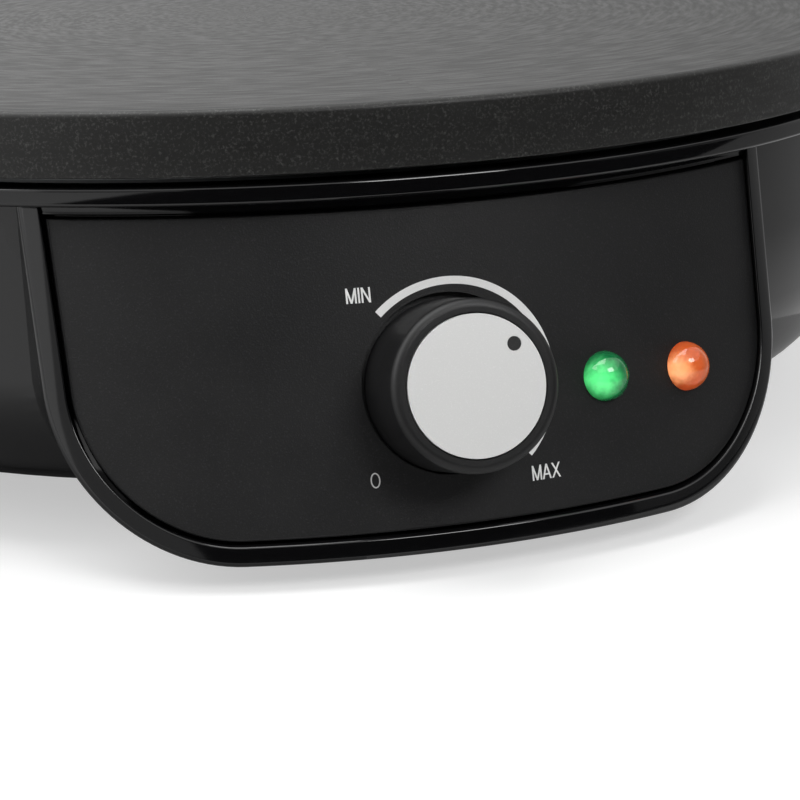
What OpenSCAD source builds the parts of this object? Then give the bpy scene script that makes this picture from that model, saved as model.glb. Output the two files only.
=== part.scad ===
// Electric crepe maker: round cast griddle plate on a tapered base, with a
// leaning control panel at the front. Millimetres, +Z up, +X to the right,
// front towards -Y. z = 0 is the table, and the origin is below the middle of
// the whole object.

/* [Cooking plate] */
// Diameter of the cooking plate
plate_d = 300; // [280:1:330]
// Height of the plate's outer rim
plate_rim_h = 12.2; // [9:0.1:16]
// Thickness of the plate's cooking face
plate_skin = 4.5; // [3.5:0.1:6]
// Thickness of the rim wall
plate_rim_wall = 3.5; // [2.5:0.1:5]
// Rounding of the rim's upper edge
plate_edge_r = 1.2; // [0.5:0.1:2]
// Air gap between the plate's rim and the housing ring
plate_gap = 1.8; // [1:0.1:3]
// Height of the two ribs that hold the heating element
rib_h = 6; // [4:0.1:6.5]
// Thickness of the ribs that hold the heating element
rib_t = 2.5; // [1.5:0.1:4]

/* [Housing] */
// Height of the rubber feet under the housing
stand_h = 8; // [6:0.1:14]
// Height of the bowl from its flat bottom to the ring
bowl_h = 62.3; // [58:0.1:75]
// Height of the ring below the plate
ring_h = 3.7; // [3:0.1:6]
// How far the ring stays inside the plate's edge
ring_inset = 1; // [0.5:0.1:3]
// How far the bowl's upper edge stays inside the ring's edge
ring_step = 4; // [3.5:0.1:6]
// Rounding of the ring's outer edges
ring_edge_r = 0.8; // [0.4:0.1:1.2]
// How much the bowl narrows from the ring down to its curved part
bowl_taper = 1.5; // [0.5:0.1:3]
// Width of the curved part between the bowl's side and its flat bottom
curve_w = 32; // [30:0.5:35]
// Height of the curved part between the bowl's side and its flat bottom
curve_h = 27; // [25:0.1:29]
// Wall thickness of the housing
wall = 2.6; // [2:0.1:3.2]
// Thickness of the flat floor ring
floor_t = 3.8; // [3.2:0.1:5]
// Width of the deck that the heat shield rests on
deck_w = 10.5; // [8:0.5:14]
// Diameter of the posts that carry the plate
post_d = 14; // [12.5:0.5:16]
// Distance from the edge of the flat bottom in to the post centres
post_inset = 8.5; // [8:0.1:12]

/* [Control panel] */
// Lean of the panel, its lower edge standing forward
panel_lean = 14; // [10:0.5:18]
// How far the panel stands out from the bowl where the bowl starts to curve
panel_reach = 9.5; // [8:0.1:12]
// Half the width of the panel at its upper edge
panel_half_w = 70.6; // [66:0.1:76]
// How much the half width shrinks down to the corners
panel_taper = 1; // [0:0.1:2]
// Corner radius of the panel
panel_corner_r = 27.6; // [26:0.1:31]
// Thickness of the panel
panel_t = 3; // [2.6:0.1:4]
// Gap between the panel and the frame around it
panel_gap = 1; // [0.7:0.1:1.4]
// How far the panel lies to the right of the middle of its recess
panel_play = 0.5; // [0:0.1:0.5]
// Width of the frame around the panel
frame_w = 3.4; // [3:0.1:5]
// How far the frame stands proud of the panel
frame_rise = 0.3; // [0:0.1:1.5]
// Height of the frame between the panel's recess and the ring
frame_top = 1.9; // [1.2:0.1:4]
// How far the frame's lower edge hangs below the bowl
chin_drop = 2.8; // [2:0.1:5]
// How many degrees the frame's side walls flare out towards the bowl
side_flare = 2; // [0:0.5:4]
// Upward slope of the frame's underside
chin_slope = 6; // [4:0.5:12]
// Width of the ledge behind the panel's edge
ledge_w = 5; // [4:0.1:6]
// Thickness of the ledge behind the panel
ledge_t = 2.2; // [1.6:0.1:3]
// Diameter of the pins that stake the panel to the ledge
stake_d = 2.4; // [1.8:0.1:2.8]

/* [Knob] */
// Diameter of the knob at its base
knob_base_d = 32.6; // [32:0.1:34.2]
// Diameter of the knob at its front
knob_front_d = 31.9; // [30.6:0.1:32]
// Height of the knob's front above the panel
knob_h = 15.5; // [12:0.1:18]
// Rounding of the knob's front edge
knob_edge_r = 1.6; // [1:0.1:1.6]
// Diameter of the metal cap in the knob's front
cap_d = 26.2; // [24:0.1:26.4]
// Thickness of the metal cap
cap_t = 1.2; // [0.8:0.1:1.6]
// Distance of the knob's axis below the recess's upper edge
knob_down = 33.6; // [32:0.1:36]
// Distance of the knob's axis to the left of the panel's middle, along the panel
knob_left = 0.8; // [0:0.1:1]
// Gap between the knob's base and the round recess that it turns in, on average
dish_gap = 0.75; // [0.7:0.05:1.5]
// How far the recess's middle lies above the knob's axis
dish_up = 0.4; // [0:0.05:0.4]
// Diameter of the pointer dot
dot_d = 2.6; // [1.6:0.1:3.6]
// Distance of the pointer dot from the knob's axis
dot_out = 10.4; // [8:0.1:10.6]
// Direction of the pointer dot, clockwise from straight up
dot_angle = 48; // [-45:1:135]

/* [Indicator lamps] */
// Diameter of the lamp lenses
lens_d = 9.7; // [9:0.1:11]
// Height of the lens domes
dome_h = 4.4; // [3:0.1:4.7]
// Diameter of the lens barrels
barrel_d = 7.8; // [7:0.1:8.2]
// Length of the lens barrels behind the panel's face
barrel_l = 8; // [7:0.1:10]
// Distance of the ready lamp to the right of the panel's middle, along the panel
ready_side = 31.3; // [29:0.1:34]
// Distance of the power lamp to the right of the panel's middle, along the panel
power_side = 51.1; // [48:0.1:53]
// Distance of the ready lamp below the recess's upper edge
ready_down = 35.9; // [30:0.1:40]
// Distance of the power lamp below the recess's upper edge
power_down = 37.2; // [30:0.1:40]

/* [Thermostat] */
// Width of the thermostat's case
thermo_w = 32; // [28:0.5:36]
// Height of the thermostat's case
thermo_h = 26; // [22:0.5:26]
// Depth of the thermostat's case
thermo_d = 18; // [14:0.5:19]
// Diameter of the thermostat's shaft
shaft_d = 6; // [5:0.1:6.4]
// Outer diameter of the threaded bushing
bushing_d = 9.4; // [9:0.1:10]

/* [Heater and sensor] */
// Diameter of the heating element's tube
element_d = 6.6; // [6:0.1:8]
// Distance from the post centres in to the heating element's ring
element_inset = 21; // [18:0.5:26]
// Angle left open between the two ends of the element
element_gap = 24; // [20:1:30]
// Radius of the bends that lead the element's ends down
element_bend = 8; // [7:0.5:10]
// Diameter of the temperature sensor bulb
bulb_d = 4.2; // [3.4:0.1:5]
// Length of the temperature sensor bulb
bulb_l = 48; // [40:1:60]
// Diameter of the capillary tube
capillary_d = 1.8; // [1.4:0.1:2.2]
// Diameter of the thermal fuse
fuse_d = 4; // [3.4:0.1:5]
// Length of the thermal fuse
fuse_l = 14; // [12:0.5:18]
// Depth of the heat shield's dish
shield_depth = 12; // [9:0.5:13]
// Thickness of the heat shield's sheet
shield_t = 0.8; // [0.5:0.1:1.2]

/* [Base and cable inlet] */
// Diameter of the rubber feet
foot_d = 15; // [12:0.5:16]
// Thickness of the bottom cover
cover_t = 1.6; // [1.2:0.1:1.9]
// Number of vent slots in the bottom cover
vent_count = 12; // [6:1:16]
// Height of the cable inlet above the bowl's bottom
inlet_up = 42; // [38:0.5:48]
// Diameter of the cable inlet's bore
inlet_bore_d = 7.2; // [5.6:0.1:8]
// Diameter of the inlet bushing's neck
inlet_neck_d = 12; // [11.4:0.1:14]
// Diameter of the inlet bushing's outer flange
inlet_flange_d = 16; // [15:0.5:20]
// Width of one way of the terminal block
way_w = 9; // [8:0.5:10]
// Height of the terminal block
block_h = 14; // [12:0.5:16]

/* [Hidden] */
$fn = 96;
far = 400;                              // longer than any cut needs
run_fit = 0.06;                         // radial clearance of a turning shaft
snug = 0.05;                            // radial clearance of pressed pieces
loose = 0.1;                            // radial clearance of pieces put in by hand

// Radii from the plate's axis
plate_r = plate_d / 2;
ring_r = plate_r - ring_inset;
bowl_top_r = ring_r - ring_step;
bowl_r = bowl_top_r - bowl_taper;       // where the bowl's side starts to curve
flat_r = bowl_r - curve_w;              // edge of the flat bottom
deck_r = bowl_top_r - deck_w;           // edge of the round hole in the deck
post_r = flat_r - post_inset;           // circle of posts and feet
screw_ring_w = 8;                       // band of floor that the cover's screws use
cover_r = post_r - screw_ring_w;
opening_r = cover_r - screw_ring_w;     // hole in the housing's floor
cover_screw_r = cover_r - screw_ring_w / 2;
element_r = post_r - element_inset;

// Heights above the table
bowl_z = stand_h;
floor_z = bowl_z + floor_t;
bend_z = bowl_z + curve_h;              // where the bowl's side starts to curve
ring_z = bowl_z + bowl_h;
deck_z = ring_z + ring_h;
plate_z = deck_z + plate_gap;
plate_top = plate_z + plate_rim_h;
plate_under = plate_top - plate_skin;   // underside of the cooking face
deck_t = wall;
shield_z = deck_z - shield_depth;       // underside of the shield's floor
shield_top = shield_z + shield_t;
washer_t = 1;
post_top = shield_z - washer_t;
post_depth = 16;                        // depth of the post's narrow hole
screw_seat = post_top - post_depth;
chin_z = bowl_z - chin_drop;
inlet_z = bowl_z + inlet_up;

// The bowl's curve: an upper arc that meets a larger lower arc without a kink
side_arc = curve_h - 3;
floor_arc = (curve_w * curve_w + curve_h * curve_h - 2 * curve_w * side_arc)
    / (2 * (curve_h - side_arc));

// Panel face: a cone around the plate's axis
panel_top = ring_z - frame_top - panel_gap;
corner_x = panel_half_w - panel_taper - panel_corner_r;
corner_z = chin_z + frame_w + panel_gap + panel_corner_r;
outer_grow = panel_gap + frame_w;       // from the panel's outline to the frame's
recess_top = panel_top + panel_gap;
knob_z = recess_top - knob_down;

// Knob, along its own axis from the panel's face
knob_sink = 1.4;                        // base of the knob below the panel's face
dish_d = knob_base_d + 2 * dish_gap;    // round recess that the knob's base turns in
dish_depth = 2;
seat_d = 18;                            // flat seat behind the panel
seat_z = -(panel_t + 2);
yoke_t = 1.5;
nut_t = 2.4;
bushing_top = 3;
hub_z = 4;
hub_d = 12;
knob_wall = 1.7;
knob_roof = 2.2;
flat_off = 1.6;                         // flat of the shaft, from its axis
spring_t = 0.4;
cap_rise = 0.2;
cap_groove = 0.3;
shaft_top = knob_h - cap_t + cap_rise - 1.4;
shaft_in = 7;                           // how far the shaft reaches into the case
thermo_back = seat_z - yoke_t - thermo_d;
tab_w = 6.3;
tab_t = 0.8;
tab_l = 7;
tab_edge_gap = 1.5;                     // from a tab to the case's side
tab_x = thermo_w / 2 - tab_w / 2 - tab_edge_gap;
capsule_gap = 0.7;                      // from the capsule to the tabs
capsule_d = 2 * (tab_x - tab_w / 2 - capsule_gap);
capsule_t = 3;
capsule_up = 2;
spring_w = 3.2;
spring_end = 0.6;                       // spring's ends inside the hub's
bore_end = 0.3;                         // bore beyond the shaft's end

// Lamps, along their own axis from the panel's face
lens_lift = 0.05;
neon_d = 5.2;
neon_l = 12;
neon_start = -1.4;
sleeve_d = 7.4;
sleeve_l = 7;

// Small hardware
stake_head = 0.8;                       // how far the stakes stand behind the ledge
stake_up = 4;                           // lower side stakes above the corners' middle
stake_down = 10;                        // upper side stakes below the panel's edge
stake_side = 0.7;                       // share of the corners' distance
capillary_hole_r = 4;
vent_w = 4;
m4_r = 2;
thread_depth = 11;
washer_d = 12;
head_h = 3;
head_r = 3.9;
cover_screw_rad = 1.4;
cover_head_r = 2.9;
cover_head_h = 2;
cover_boss_d = 8;
cover_boss_h = 10;
foot_stem_r = 3;
foot_bevel = 1.2;
foot_barb = 1.2;                        // barb beyond the stem, above the floor
foot_barb_h = 2.6;
foot_play = 0.3;
rib_clear = 0.05;
seal_t = 3;
pin_r = 1.25;
pin_l = 10;
leg_l = 12;
shield_flange = 6;
shield_slope = 10;
block_deep = 16;
block_az = 112.5;
block_out = 2;                          // block's middle inside the post circle
way_r = 1.6;                            // holes for the leads
clamp_r = 1.7;                          // holes for the clamping screws
clamp_x = 4;
clamp_sink = 0.8;                       // clamping screws below the block's top
tag_r = 4;
tag_l = 10;
tag_w = 4;
earth_screw_r = m4_r - loose;
earth_nut_h = 2.6;
clip_t = 1;
fuse_clip_w = 6;
fuse_clip_ear = 3;
bulb_clip_w = 7;
bulb_clip_ear = 3.5;
lead_end = 0.2;                         // leads end this short of what they serve
pull = 10;                              // unit of the leads' curves
push_ring_w = 2.2;
push_ring_t = 1;
earth_xy = [-34, 30];
fuse_xy = [34, 10];
capillary_xy = [40, -62];
bulb_y = -44;
bulb_z = plate_under - bulb_d / 2 - rib_clear;
fuse_z = shield_z - fuse_d / 2 - rib_clear;
gland_in = 2.4;
gland_lip = inlet_neck_d / 2 + 1.2;
gland_out = 3.4;

// Middle of the whole object: from the plate's rear edge to the knob cap's rim
knob_reach = face_r(knob_z) + (knob_h + cap_rise) * cos(panel_lean)
    + cap_d / 2 * sin(panel_lean);
plate_y = (knob_reach - plate_r) / 2;

// ---- shapes and functions shared by several pieces ----

// Radius of the panel's face at height z
function face_r(z) = bowl_r + panel_reach + (bend_z - z) * tan(panel_lean);
// Radius of a surface that lies `depth` behind the panel's face
function skin_r(z, depth) = face_r(z) - depth / cos(panel_lean);
// Radius of the bowl's outside between its curved part and the ring
function side_r(z) = bowl_r + bowl_taper * (z - bend_z) / (ring_z + deck_t / 2 - bend_z);
// Half width of the panel's outline, grown by `grow`, on its straight sides
function side_x(z, grow) = corner_x + panel_corner_r + grow
    + panel_taper * (z - corner_z) / (panel_top - corner_z);
// Point on the frame's face
function on_frame(x, z) =
    [x, -sqrt(pow(skin_r(z, -frame_rise), 2) - x * x), z];
// The same point seen along the direction of the frame's walls
function along_wall(p) = let (
        x = p[0] * cos(side_flare) - p[1] * sin(side_flare),
        y = p[0] * sin(side_flare) + p[1] * cos(side_flare)
    ) [x, -y * sin(chin_slope) + p[2] * cos(chin_slope)];
// Place in the plate's frame of a point given on the tilted axis at (side, z)
function on_axis(side, z, p) = let (
        turn = side / face_r(z) * 180 / PI,
        y = -face_r(z) + p[1] * sin(panel_lean) - p[2] * cos(panel_lean),
        up = z + p[1] * cos(panel_lean) + p[2] * sin(panel_lean)
    ) [p[0] * cos(turn) - y * sin(turn), p[0] * sin(turn) + y * cos(turn), up];
// Outward direction of the tilted axis at (side, z)
function axis_dir(side, z) =
    on_axis(side, z, [0, 0, 1]) - on_axis(side, z, [0, 0, 0]);

// Keeps its children in the plate's own frame, with the axis at the middle
module on_plate() {
    translate([0, plate_y, 0]) children();
}

// Puts its children on the panel: local Z points out of the face, Y up along it
module on_panel(side, z) {
    on_plate()
        rotate([0, 0, side / face_r(z) * 180 / PI])
            translate([0, -face_r(z), z])
                rotate([90 - panel_lean, 0, 0]) children();
}

// The same at the knob's axis
module on_knob() {
    on_panel(-knob_left, knob_z) children();
}

// Copies its children around the plate's axis at radius r
module around(r, start, count = 4) {
    for (i = [0 : count - 1])
        rotate([0, 0, start + i * 360 / count]) translate([r, 0, 0]) children();
}

// Solid inside a surface `depth` behind the panel's face, from z0 to z1
module panel_cone(depth, z0, z1) {
    translate([0, 0, z0])
        cylinder(h = z1 - z0, r1 = skin_r(z0, depth), r2 = skin_r(z1, depth), $fn = 180);
}

// Outline of the panel in the X-Z plane, grown by `grow`, pushed through -Y
module panel_slab(grow, top) {
    r = panel_corner_r + grow;
    rotate([90, 0, 0]) linear_extrude(height = far) union() {
        polygon([
            [-side_x(top, grow), top], [-corner_x - r, corner_z],
            [-corner_x, corner_z - r], [corner_x, corner_z - r],
            [corner_x + r, corner_z], [side_x(top, grow), top]
        ]);
        for (s = [-1, 1]) translate([s * corner_x, corner_z]) circle(r);
    }
}

// Half of the block that carries the frame: it flares and rises to the back
module frame_half(grow) {
    r = panel_corner_r + grow;
    high = ring_z + far / 20;
    arc_step = 5;
    low_steps = 5;
    beyond = corner_x / low_steps / 2;
    rim = concat(
        [on_frame(side_x(high, grow), high)],
        [for (a = [0 : arc_step : 90])
            on_frame(corner_x + r * cos(a), corner_z - r * sin(a))],
        [for (k = [1 : low_steps - 1])
            on_frame(corner_x * (1 - k / low_steps), corner_z - r)],
        [on_frame(-beyond, corner_z - r)]
    );
    flat = [for (p = rim) along_wall(p)];
    last = flat[len(flat) - 1];
    past = last[0] - curve_w;
    intersection() {
        rotate([90 + chin_slope, 0, -side_flare])
            translate([0, 0, flat_r - curve_w])
                linear_extrude(height = far)
                    polygon(concat(flat, [[past, last[1]], [past, flat[0][1]]]));
        translate([0, -far, -far]) cube([far, 2 * far, 2 * far]);
    }
}

// The whole block up to `top`, bounded in front by the surface `depth` behind
// the panel's face
module frame_block(grow, depth, top) {
    intersection() {
        panel_cone(depth, chin_z - 1, top);
        union() {
            frame_half(grow);
            mirror([1, 0, 0]) frame_half(grow);
        }
    }
}

// Screw along +Z with its head's seat at z = 0 and the head below it
module screw(r, length, rh, hh, slot = true) {
    difference() {
        union() {
            cylinder(h = length, r = r);
            translate([0, 0, -hh]) cylinder(h = hh, r = rh);
        }
        if (slot) for (a = [0, 90])
            translate([0, 0, -hh]) rotate([0, 0, a])
                cube([rh * 1.2, rh * 0.28, hh], center = true);
    }
}

// Saddle clip for a rod of diameter d lying along local X below z = 0
module saddle(d, width, ears) {
    gap = d / 2 + loose;
    drop = d + rib_clear + loose;
    difference() {
        union() {
            translate([-width / 2, -gap - clip_t, -drop - clip_t])
                cube([width, 2 * (gap + clip_t), drop + clip_t]);
            translate([-width / 2, -gap - clip_t - ears, -clip_t])
                cube([width, 2 * (gap + clip_t + ears), clip_t]);
        }
        translate([-width, 0, -d / 2 - rib_clear]) rotate([0, 90, 0])
            cylinder(h = 2 * width, r = gap);
        translate([-width, -gap, -d / 2 - rib_clear]) cube([2 * width, 2 * gap, d]);
    }
}

// ---- sweep of a round tube along a curve ----
function unit(v) = v / norm(v);
// Point t on the curve that leaves a along u and reaches b along v
function bend(a, u, b, v, t) =
    a * pow(1 - t, 3) + (a + u) * 3 * t * pow(1 - t, 2)
    + (b - v) * 3 * t * t * (1 - t) + b * pow(t, 3);
function curve(a, u, b, v, n) = [for (i = [0 : n]) bend(a, u, b, v, i / n)];
function drop_first(p) = [for (i = [1 : len(p) - 1]) p[i]];
function tangent(p, i) = unit(p[min(i + 1, len(p) - 1)] - p[max(i - 1, 0)]);

module tube(path, r, sides = 8, side_dir = [1, 0.23, 0.11]) {
    n = len(path);
    rings = [for (i = [0 : n - 1]) let (
            t = tangent(path, i),
            across = unit(cross(t, side_dir)),
            other = cross(t, across)
        ) for (k = [0 : sides - 1])
            path[i] + r * (cos(k * 360 / sides) * across + sin(k * 360 / sides) * other)];
    walls = [for (i = [0 : n - 2], k = [0 : sides - 1]) let (k2 = (k + 1) % sides)
        each [
            [i * sides + k, (i + 1) * sides + k, i * sides + k2],
            [i * sides + k2, (i + 1) * sides + k, (i + 1) * sides + k2]
        ]];
    ends = [
        [for (k = [0 : sides - 1]) k],
        [for (k = [sides - 1 : -1 : 0]) (n - 1) * sides + k]
    ];
    polyhedron(points = rings, faces = concat(walls, ends));
}

// ---- cooking plate and heater ----

module plate_profile() {
    union() {
        translate([0, plate_under]) square([plate_r - plate_edge_r, plate_skin]);
        translate([plate_r - plate_rim_wall, plate_z])
            square([plate_rim_wall, plate_rim_h - plate_edge_r]);
        translate([plate_r - plate_edge_r, plate_top - plate_edge_r]) circle(plate_edge_r);
        for (side = [-1, 1]) {
            half = element_d / 2 + rib_clear;
            inner = side < 0 ? element_r - half - rib_t : element_r + half;
            translate([inner, plate_under - rib_h]) square([rib_t, rib_h + 1]);
        }
    }
}

module cooking_plate() {
    color([0.22, 0.22, 0.23]) on_plate() difference() {
        union() {
            rotate_extrude($fn = 240) plate_profile();
            around(post_r, 45) translate([0, 0, shield_top])
                cylinder(h = plate_under - shield_top + 1, d = post_d);
        }
        around(post_r, 45) translate([0, 0, shield_top - 1])
            cylinder(h = thread_depth + 3, r = m4_r + snug);
    }
}

element_z = plate_under - element_d / 2 - rib_clear;
leg_z = element_z - element_bend - leg_l;

// Runs its children in the frame of one end of the element: Y leads away from it
module element_end(s) {
    rotate([0, 0, 90 - s * element_gap / 2]) translate([element_r, 0, element_z])
        mirror([0, s > 0 ? 0 : 1, 0]) children();
}

function leg_xy(s) = let (a = 90 - s * element_gap / 2)
    [element_r * cos(a) - s * element_bend * sin(a),
     element_r * sin(a) + s * element_bend * cos(a)];

module heating_element() {
    color([0.42, 0.41, 0.39]) on_plate() {
        rotate([0, 0, 90 + element_gap / 2])
            rotate_extrude(angle = 360 - element_gap, $fn = 180)
                translate([element_r, element_z]) circle(d = element_d, $fn = 32);
        for (s = [-1, 1]) element_end(s) {
            translate([0, 0, -element_bend]) rotate([0, -90, 0])
                rotate_extrude(angle = 90, $fn = 48)
                    translate([element_bend, 0]) circle(d = element_d, $fn = 32);
            translate([0, element_bend, -element_bend - leg_l])
                cylinder(h = leg_l, d = element_d, $fn = 32);
        }
    }
}

module at_legs(z) {
    on_plate() for (s = [-1, 1])
        translate([leg_xy(s)[0], leg_xy(s)[1], z]) children();
}

module element_seals() {
    color("white") at_legs(leg_z - seal_t) difference() {
        cylinder(h = seal_t, d = element_d);
        translate([0, 0, -1]) cylinder(h = seal_t + 2, r = pin_r + snug);
    }
}

module element_pins() {
    color("silver") at_legs(leg_z - seal_t - pin_l)
        cylinder(h = pin_l + seal_t, r = pin_r, $fn = 24);
}

module heat_shield() {
    outer = deck_r + shield_flange;
    foot = deck_r - shield_slope - shield_flange;
    top = deck_r - shield_flange;
    color([0.72, 0.73, 0.74]) on_plate() difference() {
        rotate_extrude($fn = 180) polygon([
            [0, shield_z], [foot, shield_z], [top, deck_z], [outer, deck_z],
            [outer, deck_z + shield_t], [top - shield_t / 2, deck_z + shield_t],
            [foot - shield_t / 2, shield_top], [0, shield_top]
        ]);
        around(post_r, 45) translate([0, 0, shield_z - 1])
            cylinder(h = shield_t + 2, r = m4_r + 3 * loose);
        for (s = [-1, 1]) translate([leg_xy(s)[0], leg_xy(s)[1], shield_z - 1])
            cylinder(h = shield_t + 2, d = element_d + 2);
        translate([capillary_xy[0], capillary_xy[1], shield_z - 1])
            cylinder(h = shield_t + 2, r = capillary_hole_r);
        translate([earth_xy[0], earth_xy[1], shield_z - 1])
            cylinder(h = shield_t + 2, r = m4_r + loose);
    }
}

module insulating_washers() {
    color([0.55, 0.42, 0.28]) on_plate() around(post_r, 45)
        translate([0, 0, post_top]) difference() {
            cylinder(h = washer_t, d = washer_d);
            translate([0, 0, -1]) cylinder(h = washer_t + 2, r = m4_r + 2 * loose);
        }
}

module plate_screws() {
    color("silver") on_plate() around(post_r, 45) translate([0, 0, screw_seat])
        screw(m4_r, shield_top - screw_seat + thread_depth, head_r, head_h);
}

// ---- housing, panel and base ----

// Point at angle `turn` on the arc of radius r around c
function on_arc(c, r, turn) = c + r * [cos(turn), sin(turn)];

module bowl_profile(inset) {
    high = ring_z + deck_t / 2;
    side_c = [bowl_r - side_arc, bend_z];
    floor_c = [flat_r, bowl_z + floor_arc];
    meet = atan2(side_c[1] - floor_c[1], side_c[0] - floor_c[0]);
    n = 8;
    polygon(concat(
        [[0, high], [0, bowl_z + inset]],
        [for (i = [0 : n]) on_arc(floor_c, floor_arc - inset, -90 + (meet + 90) * i / n)],
        [for (i = [1 : n]) on_arc(side_c, side_arc - inset, meet * (1 - i / n))],
        [[bowl_top_r - inset, high]]
    ));
}

module ring_profile() {
    union() {
        translate([bowl_top_r - wall, ring_z])
            square([ring_r - ring_edge_r - bowl_top_r + wall, ring_h]);
        translate([deck_r, deck_z - deck_t]) square([deck_w, deck_t]);
        translate([ring_r - 2 * ring_edge_r, ring_z + ring_edge_r])
            square([2 * ring_edge_r, ring_h - 2 * ring_edge_r]);
        for (z = [ring_z + ring_edge_r, deck_z - ring_edge_r])
            translate([ring_r - ring_edge_r, z]) circle(ring_edge_r);
    }
}

// What is left of its children outside the surface `depth` behind the face
module outside_cone(depth) {
    difference() {
        translate([0, -flat_r, 0]) children();
        panel_cone(depth, chin_z - 5, ring_z + 5);
    }
}

module shell() {
    difference() {
        union() {
            rotate_extrude($fn = 240) bowl_profile(0);
            rotate_extrude($fn = 240) ring_profile();
            frame_block(outer_grow, -frame_rise, ring_z + ring_h / 2);
        }
        // hollow of the bowl above the floor and below the deck, less the ledge
        difference() {
            rotate_extrude($fn = 240) intersection() {
                bowl_profile(wall);
                translate([0, floor_z]) square([bowl_top_r, deck_z - deck_t - floor_z]);
            }
            intersection() {
                frame_block(outer_grow, 0, deck_z);
                outside_cone(panel_t + ledge_t) panel_slab(outer_grow, deck_z);
            }
        }
        translate([0, 0, deck_z - deck_t - 1]) cylinder(h = far, r = deck_r, $fn = 180);
        // hollow behind the panel, its window and the recess it lies in
        frame_block(outer_grow - wall, panel_t + ledge_t, deck_z - deck_t);
        outside_cone(panel_t) panel_slab(panel_gap, recess_top);
        outside_cone(panel_t + ledge_t + 1)
            panel_slab(panel_gap - ledge_w, recess_top - ledge_w);
    }
}

// Rods of diameter d at the places where the panel is staked to its ledge
module at_stakes(d) {
    x = corner_x + panel_corner_r - ledge_w / 2 + panel_gap;
    low = corner_z - panel_corner_r + ledge_w / 2 - panel_gap;
    for (p = [[x, corner_z + stake_up], [x, panel_top - stake_down], [corner_x * stake_side, low]])
        for (s = [-1, 1]) translate([s * p[0] + panel_play, 0, p[1]])
            rotate([90, 0, 0]) cylinder(h = far / 4, d = d, $fn = 24);
}

module housing() {
    color([0.07, 0.07, 0.075]) on_plate() difference() {
        union() {
            shell();
            around(post_r, 45) translate([0, 0, bowl_z]) cylinder(h = post_top - bowl_z, d = post_d);
            around(cover_screw_r, 67.5) translate([0, 0, bowl_z + cover_t])
                cylinder(h = cover_boss_h, d = cover_boss_d);
        }
        // floor opening and the seat of the bottom cover
        translate([0, 0, bowl_z - 1]) cylinder(h = floor_t + 2, r = opening_r, $fn = 180);
        translate([0, 0, bowl_z - 1]) cylinder(h = cover_t + 1, r = cover_r, $fn = 180);
        around(cover_screw_r, 67.5) translate([0, 0, bowl_z])
            cylinder(h = cover_boss_h, r = cover_screw_rad + snug);
        // wells and holes of the plate's screws
        around(post_r, 45) translate([0, 0, bowl_z - 1]) {
            cylinder(h = screw_seat - bowl_z + 1, r = head_r + 5 * loose);
            cylinder(h = far / 4, r = m4_r + 2 * loose);
        }
        around(post_r, 0) translate([0, 0, bowl_z - 1])
            cylinder(h = floor_t + 2, r = foot_stem_r + loose);
        translate([0, flat_r, inlet_z]) rotate([-90, 0, 0])
            cylinder(h = far / 4, d = inlet_neck_d + 2 * loose);
        outside_cone(panel_t + ledge_t + 1) at_stakes(stake_d + 2 * loose);
    }
}

module control_panel() {
    color([0.13, 0.13, 0.135]) difference() {
        union() {
            on_plate() {
                intersection() {
                    panel_cone(0, chin_z, ring_z);
                    outside_cone(panel_t) translate([panel_play, 0, 0]) panel_slab(0, panel_top);
                }
                // stakes through the ledge
                intersection() {
                    panel_cone(panel_t / 2, chin_z, ring_z);
                    outside_cone(panel_t + ledge_t + stake_head) at_stakes(stake_d);
                }
            }
            on_knob() translate([0, 0, seat_z]) cylinder(h = -seat_z - dish_depth, d = seat_d);
        }
        on_knob() {
            translate([0, dish_up, -dish_depth]) cylinder(h = dish_depth + 3, d = dish_d);
            translate([0, 0, seat_z - 1]) cylinder(h = -seat_z + 1, d = bushing_d + 2 * loose);
        }
        at_lamps() translate([0, 0, -panel_t - 2])
            cylinder(h = panel_t + 4, d = barrel_d + 2 * loose);
    }
}

module bottom_cover() {
    slot_in = opening_r * 0.35;
    slot_l = opening_r * 0.3;
    color([0.62, 0.63, 0.64]) on_plate() translate([0, 0, bowl_z]) difference() {
        cylinder(h = cover_t, r = cover_r - 3 * loose, $fn = 180);
        for (i = [0 : vent_count - 1]) rotate([0, 0, i * 360 / vent_count])
            translate([slot_in, -vent_w / 2, -1]) cube([slot_l, vent_w, cover_t + 2]);
        around(cover_screw_r, 67.5) translate([0, 0, -1])
            cylinder(h = cover_t + 2, r = cover_screw_rad + 2 * loose);
    }
}

module cover_screws() {
    color("silver") on_plate() around(cover_screw_r, 67.5) translate([0, 0, bowl_z])
        screw(cover_screw_rad, cover_boss_h - cover_t, cover_head_r, cover_head_h);
}

module rubber_feet() {
    barb = foot_stem_r + foot_barb;
    color([0.1, 0.1, 0.1]) on_plate() around(post_r, 0) {
        cylinder(h = foot_bevel, d1 = foot_d - 2 * foot_bevel, d2 = foot_d);
        translate([0, 0, foot_bevel]) cylinder(h = stand_h - foot_bevel, d = foot_d);
        cylinder(h = floor_z + 2 * foot_play, r = foot_stem_r);
        translate([0, 0, floor_z + foot_play])
            cylinder(h = foot_barb_h, r1 = barb, r2 = foot_stem_r - foot_play);
    }
}

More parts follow.
